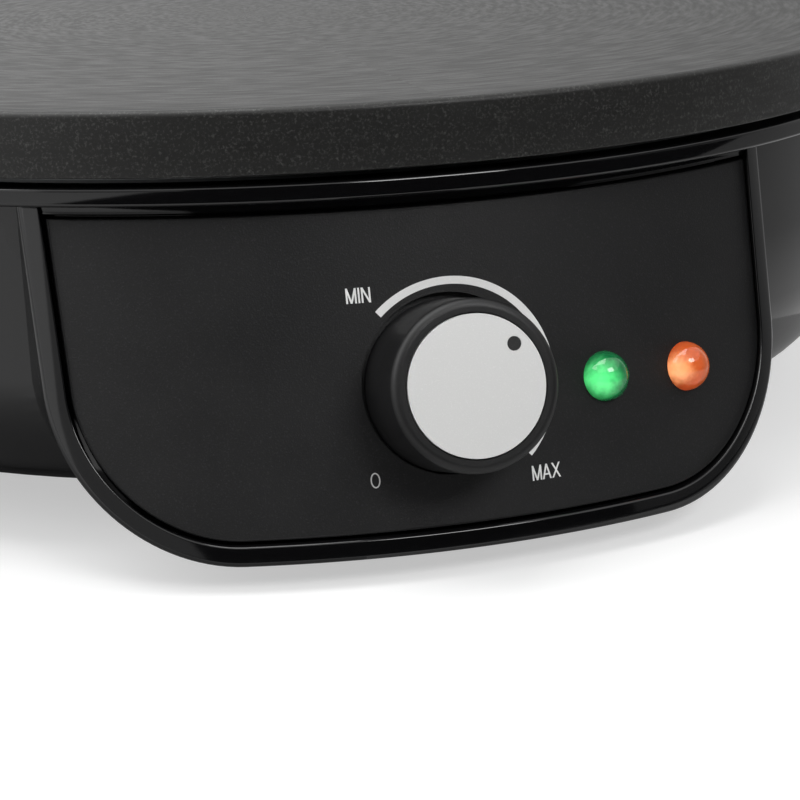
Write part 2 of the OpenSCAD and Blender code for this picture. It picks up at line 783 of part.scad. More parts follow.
module cord_gland() {
    // the bowl's side leans, so the flanges bear on its widest and narrowest places
    outside = side_r(inlet_z + inlet_flange_d / 2) + loose;
    inside = sqrt(pow(side_r(inlet_z - gland_lip) - wall, 2) - pow(gland_lip, 2)) - loose;
    color([0.05, 0.05, 0.05]) on_plate() translate([0, 0, inlet_z]) rotate([-90, 0, 0])
        difference() {
            union() {
                translate([0, 0, outside]) cylinder(h = gland_out, d = inlet_flange_d);
                translate([0, 0, inside]) cylinder(h = outside - inside + 1, d = inlet_neck_d);
                translate([0, 0, inside - gland_in])
                    cylinder(h = gland_in, r = gland_lip);
            }
            translate([0, 0, inside - gland_in - 1])
                cylinder(h = outside - inside + gland_in + gland_out + 2, d = inlet_bore_d);
        }
}

// ---- wiring ----

block_mid = post_r - block_out;

module on_block() {
    on_plate() rotate([0, 0, block_az]) translate([block_mid, 0, floor_z]) children();
}

module terminal_block() {
    color([0.9, 0.88, 0.8]) on_block() difference() {
        translate([-block_deep / 2, -way_w * 1.5, 0]) cube([block_deep, way_w * 3, block_h]);
        for (i = [-1, 0, 1]) translate([0, i * way_w, 0]) {
            translate([-block_deep, 0, block_h / 2]) rotate([0, 90, 0])
                cylinder(h = 2 * block_deep, r = way_r);
            for (x = [-clamp_x, clamp_x]) translate([x, 0, block_h / 2])
                cylinder(h = block_h, r = clamp_r);
        }
    }
}

module terminal_screws() {
    start = block_h / 2 + way_r + 2 * loose;
    color("goldenrod") on_block() for (i = [-1, 0, 1], x = [-clamp_x, clamp_x])
        translate([x, i * way_w, start])
            cylinder(h = block_h - clamp_sink - start, r = clamp_r - loose);
}

module on_earth(z) {
    on_plate() translate([earth_xy[0], earth_xy[1], z]) children();
}

module earth_screw() {
    color("goldenrod") on_earth(shield_z - tab_t)
        screw(earth_screw_r, shield_t + tab_t + earth_nut_h * 1.5, head_r, head_h * 0.8);
}

module earth_tag() {
    color("gold") on_earth(shield_z - tab_t) difference() {
        union() {
            cylinder(h = tab_t, r = tag_r);
            translate([0, -tag_w / 2, 0]) cube([tag_l, tag_w, tab_t]);
        }
        translate([0, 0, -1]) cylinder(h = tab_t + 2, r = m4_r + loose);
    }
}

module earth_nut() {
    color("goldenrod") on_earth(shield_top) difference() {
        cylinder(h = earth_nut_h, r = tag_r, $fn = 6);
        translate([0, 0, -1]) cylinder(h = earth_nut_h + 2, r = earth_screw_r + snug);
    }
}

module on_fuse() {
    on_plate() translate([fuse_xy[0], fuse_xy[1], shield_z]) rotate([0, 0, 90]) children();
}

module thermal_fuse() {
    color([0.8, 0.78, 0.7]) on_fuse()
        translate([-fuse_l / 2, 0, -fuse_d / 2 - rib_clear]) rotate([0, 90, 0])
            cylinder(h = fuse_l, d = fuse_d, $fn = 32);
}

module fuse_clip() {
    color("silver") on_fuse() saddle(fuse_d, fuse_clip_w, fuse_clip_ear);
}

module on_bulb() {
    on_plate() translate([0, bulb_y, plate_under]) children();
}

module sensor_bulb() {
    color([0.72, 0.45, 0.3]) on_bulb()
        translate([-bulb_l / 2, 0, -bulb_d / 2 - rib_clear]) rotate([0, 90, 0])
            cylinder(h = bulb_l, d = bulb_d, $fn = 32);
}

module bulb_clip() {
    color("silver") on_bulb() for (s = [-1, 1])
        translate([s * bulb_l * 0.28, 0, 0]) saddle(bulb_d, bulb_clip_w, bulb_clip_ear);
}

capsule_tip = on_axis(-knob_left, knob_z, [0, capsule_up, thermo_back - capsule_t - lead_end]);
back_dir = -axis_dir(-knob_left, knob_z);

module capillary_tube() {
    hole = [capillary_xy[0], capillary_xy[1], shield_z + shield_t / 2];
    bulb_tip = [bulb_l / 2 + lead_end / 2, bulb_y, bulb_z];
    path = concat(
        curve(bulb_tip, [2 * pull, 0, 0], hole, [0, 0, -1.4 * pull], 9),
        drop_first(curve(hole, [0, 0, -2.2 * pull], capsule_tip, back_dir * -2.6 * pull, 11))
    );
    color([0.72, 0.45, 0.3]) on_plate() tube(path, capillary_d / 2);
}

function tab_tip(s) = on_axis(-knob_left, knob_z, [s * tab_x, 0, thermo_back - tab_l - lead_end]);
function tab_edge(s) =
    on_axis(-knob_left, knob_z,
        [s * tab_x, tab_t / 2 + lamp_lead_r + loose, thermo_back - tab_l + tab_w / 4]);
function block_tip(i) = let (a = block_az)
    [(block_mid - block_deep / 2 - lead_end) * cos(a) - i * way_w * sin(a),
     (block_mid - block_deep / 2 - lead_end) * sin(a) + i * way_w * cos(a),
     floor_z + block_h / 2];
function fuse_tip(s) = [fuse_xy[0], fuse_xy[1] + s * (fuse_l / 2 + lead_end), fuse_z];
function pin_tip(s) = [leg_xy(s)[0], leg_xy(s)[1], leg_z - seal_t - pin_l - lead_end];
function lamp_tip(side, down, x) =
    on_axis(side, recess_top - down, [x, 0, neon_start - neon_l - lead_end]);

lead_r = 1.1;
lamp_lead_r = 0.7;
inward = [-cos(block_az), -sin(block_az), 0];

module mains_leads() {
    // terminal block to thermostat, thermostat to fuse, fuse to element,
    // terminal block to element
    color([0.6, 0.3, 0.15]) on_plate() {
        tube(curve(block_tip(1), inward * 5 * pull, tab_tip(-1), back_dir * -6 * pull, 14),
            lead_r);
        tube(curve(tab_tip(1), back_dir * 3.4 * pull, fuse_tip(-1), [0, 3 * pull, 0], 10),
            lead_r);
        tube(curve(fuse_tip(1), [0, 2.6 * pull, 0], pin_tip(1), [0, 0, 1.8 * pull], 9), lead_r);
    }
    color([0.2, 0.35, 0.7]) on_plate()
        tube(curve(block_tip(0), inward * 2.6 * pull, pin_tip(-1), [0, 0, 1.8 * pull], 9),
            lead_r);
}

module earth_lead() {
    tip = [earth_xy[0] + tag_l + lead_end + lead_r, earth_xy[1],
        shield_z - tab_t / 2 - lead_r];
    color([0.5, 0.7, 0.2]) on_plate()
        tube(curve(block_tip(-1), inward * 3 * pull, tip, [-2, 0, 0.8] * pull, 10), lead_r);
}

module lamp_leads() {
    g = -axis_dir(ready_side, recess_top - ready_down);
    o = -axis_dir(power_side, recess_top - power_down);
    color([0.75, 0.75, 0.75]) on_plate() {
        tube(curve(lamp_tip(ready_side, ready_down, -neon_d / 4), g * 1.2 * pull,
            tab_edge(1), [-0.6, -0.4, -0.4] * pull, 8), lamp_lead_r, 6);
        tube(curve(lamp_tip(ready_side, ready_down, neon_d / 4), g * 1.4 * pull,
            lamp_tip(power_side, power_down, -neon_d / 4), o * -1.4 * pull, 8), lamp_lead_r, 6);
    }
}

// ---- thermostat and knob ----

module thermostat_yoke() {
    color("silver") on_knob() translate([0, 0, seat_z - yoke_t]) difference() {
        translate([-thermo_w / 2, -thermo_h / 2, 0]) cube([thermo_w, thermo_h, yoke_t]);
        translate([0, 0, -1]) cylinder(h = yoke_t + 2, d = bushing_d + 2 * loose);
    }
}

module thermostat_body() {
    color([0.85, 0.83, 0.75]) on_knob()
        translate([0, 0, seat_z - yoke_t - thermo_d]) difference() {
            translate([-thermo_w / 2, -thermo_h / 2, 0]) cube([thermo_w, thermo_h, thermo_d]);
            translate([0, 0, thermo_d - shaft_in - 1])
                cylinder(h = shaft_in + 2, d = shaft_d + 6 * loose);
            translate([0, 0, thermo_d - 2]) cylinder(h = 3, d = bushing_d + 2 * loose);
        }
}

module thermostat_capsule() {
    color("silver") on_knob() translate([0, capsule_up, thermo_back - capsule_t])
        cylinder(h = capsule_t, d = capsule_d);
}

module thermostat_tabs() {
    color("silver") on_knob() for (s = [-1, 1])
        translate([s * tab_x - tab_w / 2, -tab_t / 2, thermo_back - tab_l])
            cube([tab_w, tab_t, tab_l]);
}

module thermostat_bushing() {
    color([0.8, 0.7, 0.4]) on_knob() difference() {
        translate([0, 0, seat_z - yoke_t - 2])
            cylinder(h = bushing_top - seat_z + yoke_t + 2, d = bushing_d);
        translate([0, 0, seat_z - yoke_t - 3])
            cylinder(h = far / 4, r = shaft_d / 2 + run_fit);
    }
}

module bushing_nut() {
    color("silver") on_knob() translate([0, 0, -dish_depth]) difference() {
        cylinder(h = nut_t, r = bushing_d / 2 + 3, $fn = 6);
        translate([0, 0, -1]) cylinder(h = nut_t + 2, r = bushing_d / 2 + snug);
    }
}

module thermostat_shaft() {
    start = seat_z - yoke_t - shaft_in;
    color("silver") on_knob() difference() {
        translate([0, 0, start]) cylinder(h = shaft_top - start, d = shaft_d);
        translate([-shaft_d, flat_off, hub_z]) cube([2 * shaft_d, shaft_d, far / 4]);
    }
}

// Outer form of the knob: a tapered drum with a rounded front edge
module knob_form() {
    base = knob_base_d / 2;
    front = knob_front_d / 2;
    shoulder = knob_h - knob_edge_r;
    rotate_extrude($fn = 120) union() {
        polygon([
            [0, -knob_sink], [base, -knob_sink], [front, shoulder], [0, shoulder]
        ]);
        translate([0, shoulder - 0.5]) square([front - knob_edge_r, knob_edge_r + 0.5]);
        translate([front - knob_edge_r, shoulder]) intersection() {
            circle(knob_edge_r);
            square(knob_edge_r);
        }
    }
}

module knob() {
    pocket = knob_h - cap_t + cap_rise;
    room = knob_front_d / 2 - knob_wall;
    color([0.12, 0.12, 0.12]) on_knob() difference() {
        knob_form();
        translate([0, 0, pocket]) cylinder(h = cap_t + 1, d = cap_d + 2 * cap_groove);
        difference() {
            translate([0, 0, -knob_sink - 1])
                cylinder(h = pocket - knob_roof + knob_sink + 1, r = room);
            translate([0, 0, hub_z]) cylinder(h = knob_h, d = hub_d);
        }
        // bore with a flat, and the pocket of the flat spring
        intersection() {
            translate([0, 0, -1]) cylinder(h = shaft_top + 1 + bore_end, r = shaft_d / 2 + snug);
            translate([-shaft_d, -shaft_d, -2])
                cube([2 * shaft_d, shaft_d + flat_off + spring_t + 2 * snug, far / 4]);
        }
    }
}

module knob_spring() {
    color("silver") on_knob()
        translate([-spring_w / 2, flat_off + snug, hub_z + spring_end])
            cube([spring_w, spring_t, shaft_top - hub_z - 2 * spring_end]);
}

module on_dot() {
    on_knob() rotate([0, 0, 90 - dot_angle]) translate([dot_out, 0, 0]) children();
}

module knob_cap() {
    color([0.78, 0.78, 0.78]) difference() {
        on_knob() translate([0, 0, knob_h - cap_t + cap_rise]) cylinder(h = cap_t, d = cap_d);
        on_dot() translate([0, 0, knob_h - cap_t - 1]) cylinder(h = cap_t + 3, d = dot_d + 2 * snug);
    }
}

module pointer_dot() {
    color([0.1, 0.1, 0.1]) on_dot() translate([0, 0, knob_h - cap_t + cap_rise])
        cylinder(h = cap_t - 0.1, d = dot_d, $fn = 32);
}

// ---- indicator lamps ----

module at_lamp(side, down) {
    on_panel(side, recess_top - down) children();
}

module at_lamps() {
    at_lamp(ready_side, ready_down) children();
    at_lamp(power_side, power_down) children();
}

module lens() {
    ball = (pow(lens_d / 2, 2) + dome_h * dome_h) / (2 * dome_h);
    difference() {
        union() {
            intersection() {
                translate([0, 0, lens_lift + dome_h - ball]) sphere(ball);
                translate([0, 0, lens_lift]) cylinder(h = dome_h + 1, d = lens_d + 1);
            }
            translate([0, 0, -barrel_l]) cylinder(h = barrel_l + lens_lift + 0.2, d = barrel_d);
        }
        translate([0, 0, -barrel_l - 1])
            cylinder(h = barrel_l + 1 + neon_start + loose, d = neon_d + 4 * loose);
    }
}

module ready_lens() {
    color([0.1, 0.75, 0.35]) at_lamp(ready_side, ready_down) lens();
}

module power_lens() {
    color([0.9, 0.45, 0.2]) at_lamp(power_side, power_down) lens();
}

module lens_rings() {
    // below the panel's curved back
    color("silver") at_lamps() translate([0, 0, -panel_t - 3 * loose - push_ring_t])
        difference() {
            cylinder(h = push_ring_t, r = barrel_d / 2 + push_ring_w);
            translate([0, 0, -1]) cylinder(h = push_ring_t + 2, r = barrel_d / 2 + snug);
        }
}

module neon_lamps() {
    color([0.9, 0.8, 0.6]) at_lamps() translate([0, 0, neon_start - neon_l]) {
        cylinder(h = neon_l - 1, d = neon_d);
        cylinder(h = neon_l, d = neon_d - 2);
    }
}

module lamp_sleeves() {
    color([0.15, 0.15, 0.15]) at_lamps()
        translate([0, 0, -barrel_l - sleeve_l - 0.1]) difference() {
            cylinder(h = sleeve_l, d = sleeve_d);
            translate([0, 0, -1]) cylinder(h = sleeve_l + 2, d = neon_d + 2 * loose);
        }
}

cooking_plate();
heating_element();
element_seals();
element_pins();
heat_shield();
insulating_washers();
plate_screws();
housing();
control_panel();
bottom_cover();
cover_screws();
rubber_feet();
cord_gland();
terminal_block();
terminal_screws();
earth_screw();
earth_tag();
earth_nut();
thermal_fuse();
fuse_clip();
sensor_bulb();
bulb_clip();
capillary_tube();
thermostat_yoke();
thermostat_body();
thermostat_capsule();
thermostat_tabs();
thermostat_bushing();
bushing_nut();
thermostat_shaft();
knob();
knob_spring();
knob_cap();
pointer_dot();
ready_lens();
power_lens();
lens_rings();
neon_lamps();
lamp_sleeves();
mains_leads();
lamp_leads();
earth_lead();
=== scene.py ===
"""Looks of an electric crepe maker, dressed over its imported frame.

Metres, +Z up, +X to the right, front towards -Y, z = 0 on the table.
"""

import logging
import math
from dataclasses import dataclass, field
from enum import Enum

import bmesh
import bpy
from mathutils import Matrix, Vector


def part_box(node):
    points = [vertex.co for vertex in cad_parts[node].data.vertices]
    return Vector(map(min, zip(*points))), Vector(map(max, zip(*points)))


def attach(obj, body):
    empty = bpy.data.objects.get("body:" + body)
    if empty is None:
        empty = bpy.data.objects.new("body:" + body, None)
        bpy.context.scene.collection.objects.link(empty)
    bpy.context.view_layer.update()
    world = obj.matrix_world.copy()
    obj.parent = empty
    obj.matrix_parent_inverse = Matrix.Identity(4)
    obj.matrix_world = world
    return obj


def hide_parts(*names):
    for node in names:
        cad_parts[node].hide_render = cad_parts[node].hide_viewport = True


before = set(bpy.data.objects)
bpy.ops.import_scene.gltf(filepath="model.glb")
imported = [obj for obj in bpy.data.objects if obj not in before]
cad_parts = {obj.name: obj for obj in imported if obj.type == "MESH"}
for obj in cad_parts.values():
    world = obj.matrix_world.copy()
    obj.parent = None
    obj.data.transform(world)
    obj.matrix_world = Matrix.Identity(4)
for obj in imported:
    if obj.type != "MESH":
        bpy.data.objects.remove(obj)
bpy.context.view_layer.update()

LOG = logging.getLogger("crepe_maker")
MM = 0.001
# how far the plate's axis lies behind the origin, in millimetres
AXIS_Y = 10.726
# most values of a noise texture lie between these
NOISE = (0.3, 0.7)


# ---- colours, nodes and meshes ----


def linear(code: str) -> tuple[float, float, float, float]:
    """Turns an sRGB hex colour into linear light.

    Args:
        code: six hex digits with a leading hash.

    Returns:
        Red, green, blue and an alpha of 1.
    """
    parts = [int(code[i:i + 2], 16) / 255 for i in (1, 3, 5)]
    light = [c / 12.92 if c <= 0.04045 else ((c + 0.055) / 1.055) ** 2.4 for c in parts]
    return (light[0], light[1], light[2], 1.0)


def add_node(tree: bpy.types.NodeTree, kind: str, settings: dict | None = None,
             links: dict | None = None) -> bpy.types.Node:
    """Adds a shader node.

    Args:
        tree: the node tree that gets it.
        kind: the node's type name.
        settings: its properties and unlinked inputs, by name or input number.
        links: output sockets to link, by the name or number of the input.

    Returns:
        The new node.
    """
    node = tree.nodes.new(kind)
    for key, value in (settings or {}).items():
        if isinstance(key, str) and hasattr(node, key):
            setattr(node, key, value)
        else:
            node.inputs[key].default_value = value
    for key, socket in (links or {}).items():
        tree.links.new(socket, node.inputs[key])
    return node


def per_metre(size_mm: float) -> float:
    """Pattern scale whose features are size_mm across."""
    return 1 / (size_mm * MM)


def mesh_piece(name: str, points: list | tuple, faces: list,
               sharp_deg: float = 40) -> bpy.types.Object:
    """Makes a mesh object with smooth faces and sharp creases.

    Args:
        name: name of the object.
        points: vertices, in metres.
        faces: tuples of vertex numbers.
        sharp_deg: an edge that turns by more than this stays sharp.

    Returns:
        The object, linked to the scene.
    """
    mesh = bpy.data.meshes.new(name)
    build = bmesh.new()
    verts = [build.verts.new(p) for p in points]
    for f in faces:
        build.faces.new([verts[i] for i in f])
    bmesh.ops.recalc_face_normals(build, faces=build.faces)
    soften(build, sharp_deg)
    build.to_mesh(mesh)
    build.free()
    piece = bpy.data.objects.new(name, mesh)
    bpy.context.scene.collection.objects.link(piece)
    return piece


def soften(build: bmesh.types.BMesh, sharp_deg: float) -> None:
    """Shades all faces smooth and marks the edges that turn more than sharp_deg."""
    for f in build.faces:
        f.smooth = True
    for e in build.edges:
        e.smooth = e.calc_face_angle(0.0) < math.radians(sharp_deg)


def loop_faces(loops: int, count: int, closed: bool, wrap: bool) -> list:
    """Quads between neighbouring loops of vertices.

    Args:
        loops: number of loops, each of count vertices in a row.
        count: vertices in a loop.
        closed: True where a loop closes on itself.
        wrap: True where the last loop meets the first.

    Returns:
        The faces.
    """
    faces = []
    for i in range(loops if wrap else loops - 1):
        for k in range(count if closed else count - 1):
            a, b = i * count, (i + 1) % loops * count
            n = (k + 1) % count
            faces.append((a + k, b + k, b + n, a + n))
    return faces


def lathe(name: str, profile: list, place: Matrix, steps: int) -> bpy.types.Object:
    """Turns a closed profile about the local Z axis.

    Args:
        name: name of the object.
        profile: (radius, height) pairs in metres; a radius of 0 starts and ends it.
        place: matrix that carries the turned form to its place.
        steps: segments round the axis.

    Returns:
        The object.
    """
    on_axis = [i for i, (r, _) in enumerate(profile) if r == 0]
    ring = [p for i, p in enumerate(profile) if i not in on_axis]
    points = [
        place @ Vector((r * math.cos(a), r * math.sin(a), z))
        for a in (2 * math.pi * k / steps for k in range(steps)) for r, z in ring
    ]
    faces = loop_faces(steps, len(ring), closed=not on_axis, wrap=True)
    for i in on_axis:
        centre = len(points)
        points.append(place @ Vector((0, 0, profile[i][1])))
        edge = 0 if i == 0 else len(ring) - 1
        faces += [
            (centre, k * len(ring) + edge, (k + 1) % steps * len(ring) + edge)
            for k in range(steps)
        ]
    return mesh_piece(name, points, faces)


def arc(centre: tuple, radius: float, start: float, end: float, steps: int) -> list:
    """Points on an arc, angles in degrees from the first axis.

    Args:
        centre: the arc's centre.
        radius: its radius.
        start: first angle.
        end: last angle.
        steps: segments between them.

    Returns:
        The points, both ends included.
    """
    turns = [math.radians(start + (end - start) * i / steps) for i in range(steps + 1)]
    return [(centre[0] + radius * math.cos(t), centre[1] + radius * math.sin(t)) for t in turns]


# ---- finishes ----


@dataclass(frozen=True)
class Finish:
    """A plain surface, and the values that every finish starts from."""

    slot: str
    colour: str
    roughness: float
    ior: float = 1.5
    metallic: float = 0.0

    def detail(self, tree: bpy.types.NodeTree, shader: bpy.types.Node,
               coords: bpy.types.NodeSocket) -> None:
        """Adds the finish's own pattern to the tree."""

    def material(self) -> bpy.types.Material:
        """Builds the material of this finish."""
        made = bpy.data.materials.new(self.slot)
        made.use_nodes = True
        tree = made.node_tree
        shader = tree.nodes["Principled BSDF"]
        shader.inputs["Base Color"].default_value = linear(self.colour)
        shader.inputs["Roughness"].default_value = self.roughness
        shader.inputs["Metallic"].default_value = self.metallic
        if self.metallic == 0:
            shader.inputs["IOR"].default_value = self.ior
        self.detail(tree, shader, add_node(tree, "ShaderNodeTexCoord").outputs["Object"])
        return made

    def tint(self, tree: bpy.types.NodeTree, shader: bpy.types.Node,
             factor: bpy.types.NodeSocket, other: str) -> None:
        """Mixes the base colour towards another one by a factor socket."""
        mix = add_node(tree, "ShaderNodeMix",
                       {"data_type": "RGBA", 6: linear(self.colour), 7: linear(other)},
                       {0: factor})
        tree.links.new(mix.outputs[2], shader.inputs["Base Color"])

    def relief(self, tree: bpy.types.NodeTree, shader: bpy.types.Node,
               height: bpy.types.NodeSocket, depth_mm: float) -> None:
        """Raises the surface by up to depth_mm where the height socket says so."""
        bump = add_node(tree, "ShaderNodeBump", {"Strength": 1.0, "Distance": depth_mm * MM},
                        {"Height": height})
        tree.links.new(bump.outputs["Normal"], shader.inputs["Normal"])

    def vary(self, tree: bpy.types.NodeTree, shader: bpy.types.Node,
             factor: bpy.types.NodeSocket, limits: tuple, ends: tuple) -> None:
        """Takes the roughness through ends while the factor socket runs through limits."""
        spread = add_node(tree, "ShaderNodeMapRange",
                          {"From Min": limits[0], "From Max": limits[1],
                           "To Min": ends[0], "To Max": ends[1]}, {"Value": factor})
        tree.links.new(spread.outputs["Result"], shader.inputs["Roughness"])


@dataclass(frozen=True)
class Grained(Finish):
    """Moulded, fired or sprayed surface with a fine grain and a soft mottle."""

    light: str = "#808080"
    grain_mm: float = 0.4
    depth_mm: float = 0.01
    mottle_mm: float = 14.0
    uneven: float = 0.06

    def detail(self, tree: bpy.types.NodeTree, shader: bpy.types.Node,
               coords: bpy.types.NodeSocket) -> None:
        """Grain as relief and as lighter flecks, mottle in roughness."""
        grain = add_node(tree, "ShaderNodeTexNoise",
                         {"Scale": per_metre(self.grain_mm), "Detail": 2.0, "Roughness": 0.6},
                         {"Vector": coords})
        self.relief(tree, shader, grain.outputs["Fac"], self.depth_mm)
        mottle = add_node(tree, "ShaderNodeTexNoise",
                          {"Scale": per_metre(self.mottle_mm), "Detail": 4.0}, {"Vector": coords})
        self.vary(tree, shader, mottle.outputs["Fac"], NOISE,
                  (self.roughness - self.uneven, self.roughness + self.uneven))
        fleck = add_node(tree, "ShaderNodeMapRange", {"From Min": 0.55, "From Max": 0.85},
                         {"Value": grain.outputs["Fac"]})
        self.tint(tree, shader, fleck.outputs["Result"], self.light)


class Axis(Enum):
    """The axis that a metal's lines run along."""

    X = 0
    Z = 2


@dataclass(frozen=True)
class Worked(Finish):
    """Metal with the fine lines of drawing, rolling or turning."""

    dark: str = "#505050"
    line_mm: float = 0.25
    length_mm: float = 8.0
    along: Axis = Axis.Z
    depth_mm: float = 0.004
    smoother: float = 0.08
    rougher: float = 0.1
    stain_mm: float = 9.0
    stain_share: float = 0.6

    def detail(self, tree: bpy.types.NodeTree, shader: bpy.types.Node,
               coords: bpy.types.NodeSocket) -> None:
        """Lines as relief and in roughness, stains in colour."""
        scale = [per_metre(self.line_mm)] * 3
        scale[self.along.value] = per_metre(self.length_mm)
        stretch = add_node(tree, "ShaderNodeMapping", {"Scale": scale}, {"Vector": coords})
        lines = add_node(tree, "ShaderNodeTexNoise", {"Scale": 1.0, "Detail": 3.0},
                         {"Vector": stretch.outputs["Vector"]})
        self.relief(tree, shader, lines.outputs["Fac"], self.depth_mm)
        self.vary(tree, shader, lines.outputs["Fac"], NOISE,
                  (self.roughness - self.smoother, self.roughness + self.rougher))
        stain = add_node(tree, "ShaderNodeTexNoise",
                         {"Scale": per_metre(self.stain_mm), "Detail": 3.0}, {"Vector": coords})
        reach = add_node(tree, "ShaderNodeMapRange",
                         {"From Min": 0.5, "From Max": 0.9, "To Max": self.stain_share},
                         {"Value": stain.outputs["Fac"]})
        self.tint(tree, shader, reach.outputs["Result"], self.dark)


@dataclass(frozen=True)
class Coated(Finish):
    """Non-stick coating sprayed on cast aluminium: satin, speckled, faintly streaked.

    The streaks run round an axis that lies axis_y metres behind the origin.
    """

    fleck: str = "#5c5c5a"
    fleck_mm: float = 0.55
    streak_mm: float = 1.2
    streaks_per_radian: float = 14.0
    streak_share: float = 0.22
    fleck_share: float = 0.8
    depth_mm: float = 0.014
    smoother: float = 0.06
    rougher: float = 0.05
    axis_y: float = 0.0

    def detail(self, tree: bpy.types.NodeTree, shader: bpy.types.Node,
               coords: bpy.types.NodeSocket) -> None:
        """Flecks of spray as colour and relief, streaks as colour and roughness."""
        shift = add_node(tree, "ShaderNodeMapping", {"Location": (0, -self.axis_y, 0)},
                         {"Vector": coords})
        flecks = add_node(tree, "ShaderNodeTexNoise",
                          {"Scale": per_metre(self.fleck_mm), "Detail": 3.0, "Roughness": 0.7},
                          {"Vector": coords})
        split = add_node(tree, "ShaderNodeSeparateXYZ", {}, {0: shift.outputs["Vector"]})
        radius = add_node(tree, "ShaderNodeVectorMath", {"operation": "LENGTH"},
                          {0: add_node(tree, "ShaderNodeCombineXYZ", {},
                                       {0: split.outputs[0], 1: split.outputs[1]}).outputs[0]})
        turn = add_node(tree, "ShaderNodeMath", {"operation": "ARCTAN2"},
                        {0: split.outputs[0], 1: split.outputs[1]})
        # a streak runs a few degrees round the plate
        ringed = add_node(tree, "ShaderNodeCombineXYZ", {},
                          {0: add_node(tree, "ShaderNodeMath",
                                       {"operation": "MULTIPLY", 1: per_metre(self.streak_mm)},
                                       {0: radius.outputs["Value"]}).outputs[0],
                           1: add_node(tree, "ShaderNodeMath",
                                       {"operation": "MULTIPLY", 1: self.streaks_per_radian},
                                       {0: turn.outputs[0]}).outputs[0],
                           2: add_node(tree, "ShaderNodeMath",
                                       {"operation": "MULTIPLY", 1: per_metre(self.streak_mm)},
                                       {0: split.outputs[2]}).outputs[0]})
        streaks = add_node(tree, "ShaderNodeTexNoise", {"Scale": 1.0, "Detail": 3.0},
                           {"Vector": ringed.outputs[0]})
        both = add_node(tree, "ShaderNodeMix", {"data_type": "FLOAT", 0: self.streak_share},
                        {2: flecks.outputs["Fac"], 3: streaks.outputs["Fac"]})
        self.relief(tree, shader, flecks.outputs["Fac"], self.depth_mm)
        spots = add_node(tree, "ShaderNodeMapRange",
                         {"From Min": 0.52, "From Max": 0.8, "To Max": self.fleck_share},
                         {"Value": both.outputs[0]})
        self.tint(tree, shader, spots.outputs["Result"], self.fleck)
        self.vary(tree, shader, streaks.outputs["Fac"], (0.35, 0.65),
                  (self.roughness + self.rougher, self.roughness - self.smoother))


@dataclass(frozen=True)
class Lens(Finish):
    """Coloured clear plastic, moulded, with a painted glow: the lens itself shines, standing in for
    the lamp behind it and for the bright spots that light leaves on it.

    The painted glow is full up to core_mm from its centre and gone reach_mm further
    out. A cloud of features cloud_mm across shifts its edge by up to bend_mm,
    and the dome's sides keep side_share of it, as painted shade. The colour has
    changed to edge, a painted shade, at reach_mm and rim_mm together.
    """

    edge: str = "#0a5a2a"
    glow: str = "#60ff80"
    power: float = 1.0
    centre: tuple = (0.0, 0.0, 0.0)
    reach_mm: float = 4.0
    clearness: float = 0.35
    core_mm: float = 2.0
    rim_mm: float = 3.0
    cloud_mm: float = 1.6
    bend_mm: float = 2.5
    side_share: float = 0.15

    def detail(self, tree: bpy.types.NodeTree, shader: bpy.types.Node,
               coords: bpy.types.NodeSocket) -> None:
        """Painted glow and painted shade that change from the glow's centre to the rim."""
        shader.inputs["Transmission Weight"].default_value = self.clearness
        away = add_node(tree, "ShaderNodeVectorMath", {"operation": "DISTANCE", 1: self.centre},
                        {0: coords})
        cloud = add_node(tree, "ShaderNodeTexNoise",
                         {"Scale": per_metre(self.cloud_mm), "Detail": 2.0}, {"Vector": coords})
        bent = add_node(tree, "ShaderNodeMath",
                        {"operation": "MULTIPLY_ADD", 1: self.bend_mm * MM},
                        {0: cloud.outputs["Fac"], 2: away.outputs["Value"]})
        core = self.core_mm * MM
        fade = add_node(tree, "ShaderNodeMapRange",
                        {"interpolation_type": "SMOOTHSTEP", "From Min": core,
                         "From Max": self.reach_mm * MM + core, "To Min": self.power,
                         "To Max": 0.0}, {"Value": bent.outputs[0]})
        # painted shade: the glow dims where the dome's side turns away from the view
        side = add_node(tree, "ShaderNodeLayerWeight", {"Blend": 0.5})
        painted_side_shade = add_node(tree, "ShaderNodeMapRange",
                        {"From Min": 0.3, "From Max": 0.85, "To Min": 1.0,
                         "To Max": self.side_share},
                        {"Value": side.outputs["Facing"]})
        lit = add_node(tree, "ShaderNodeMath", {"operation": "MULTIPLY"},
                       {0: fade.outputs["Result"], 1: painted_side_shade.outputs["Result"]})
        # painted glow: the lens surface shines by itself, brightest off its middle
        shader.inputs["Emission Color"].default_value = linear(self.glow)
        tree.links.new(lit.outputs[0], shader.inputs["Emission Strength"])
        # painted shade: the colour turns to edge away from the glow's centre
        rim = add_node(tree, "ShaderNodeMapRange",
                       {"From Min": core, "From Max": (self.reach_mm + self.rim_mm) * MM},
                       {"Value": bent.outputs[0]})
        self.tint(tree, shader, rim.outputs["Result"], self.edge)


@dataclass(frozen=True)
class Sleeving(Finish):
    """Insulation on a lead, in two colours whose bands lie 0.36 of wave_mm apart."""

    other: str = "#c8a070"
    wave_mm: float = 9.6
    depth_mm: float = 0.05

    def detail(self, tree: bpy.types.NodeTree, shader: bpy.types.Node,
               coords: bpy.types.NodeSocket) -> None:
        """Diagonal bands as colour and relief."""
        wave = add_node(tree, "ShaderNodeTexWave",
                        {"bands_direction": "DIAGONAL", "Scale": per_metre(self.wave_mm),
                         "Distortion": 1.0}, {"Vector": coords})
        self.tint(tree, shader, wave.outputs["Fac"], self.other)
        self.relief(tree, shader, wave.outputs["Fac"], self.depth_mm)


def wear(piece: bpy.types.Object, finish: Finish, made: dict) -> None:
    """Gives a piece its finish, on the slots it has or on a new one.

    Args:
        piece: mesh object.
        finish: what it is to look like.
        made: materials built so far, by finish.
    """
    if finish not in made:
        made[finish] = finish.material()
    if piece.material_slots:
        for place in piece.material_slots:
            place.material = made[finish]
    else:
        piece.data.materials.append(made[finish])


class Body(Enum):
    """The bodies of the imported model."""

    BASE = "base"
    KNOB = "knob"


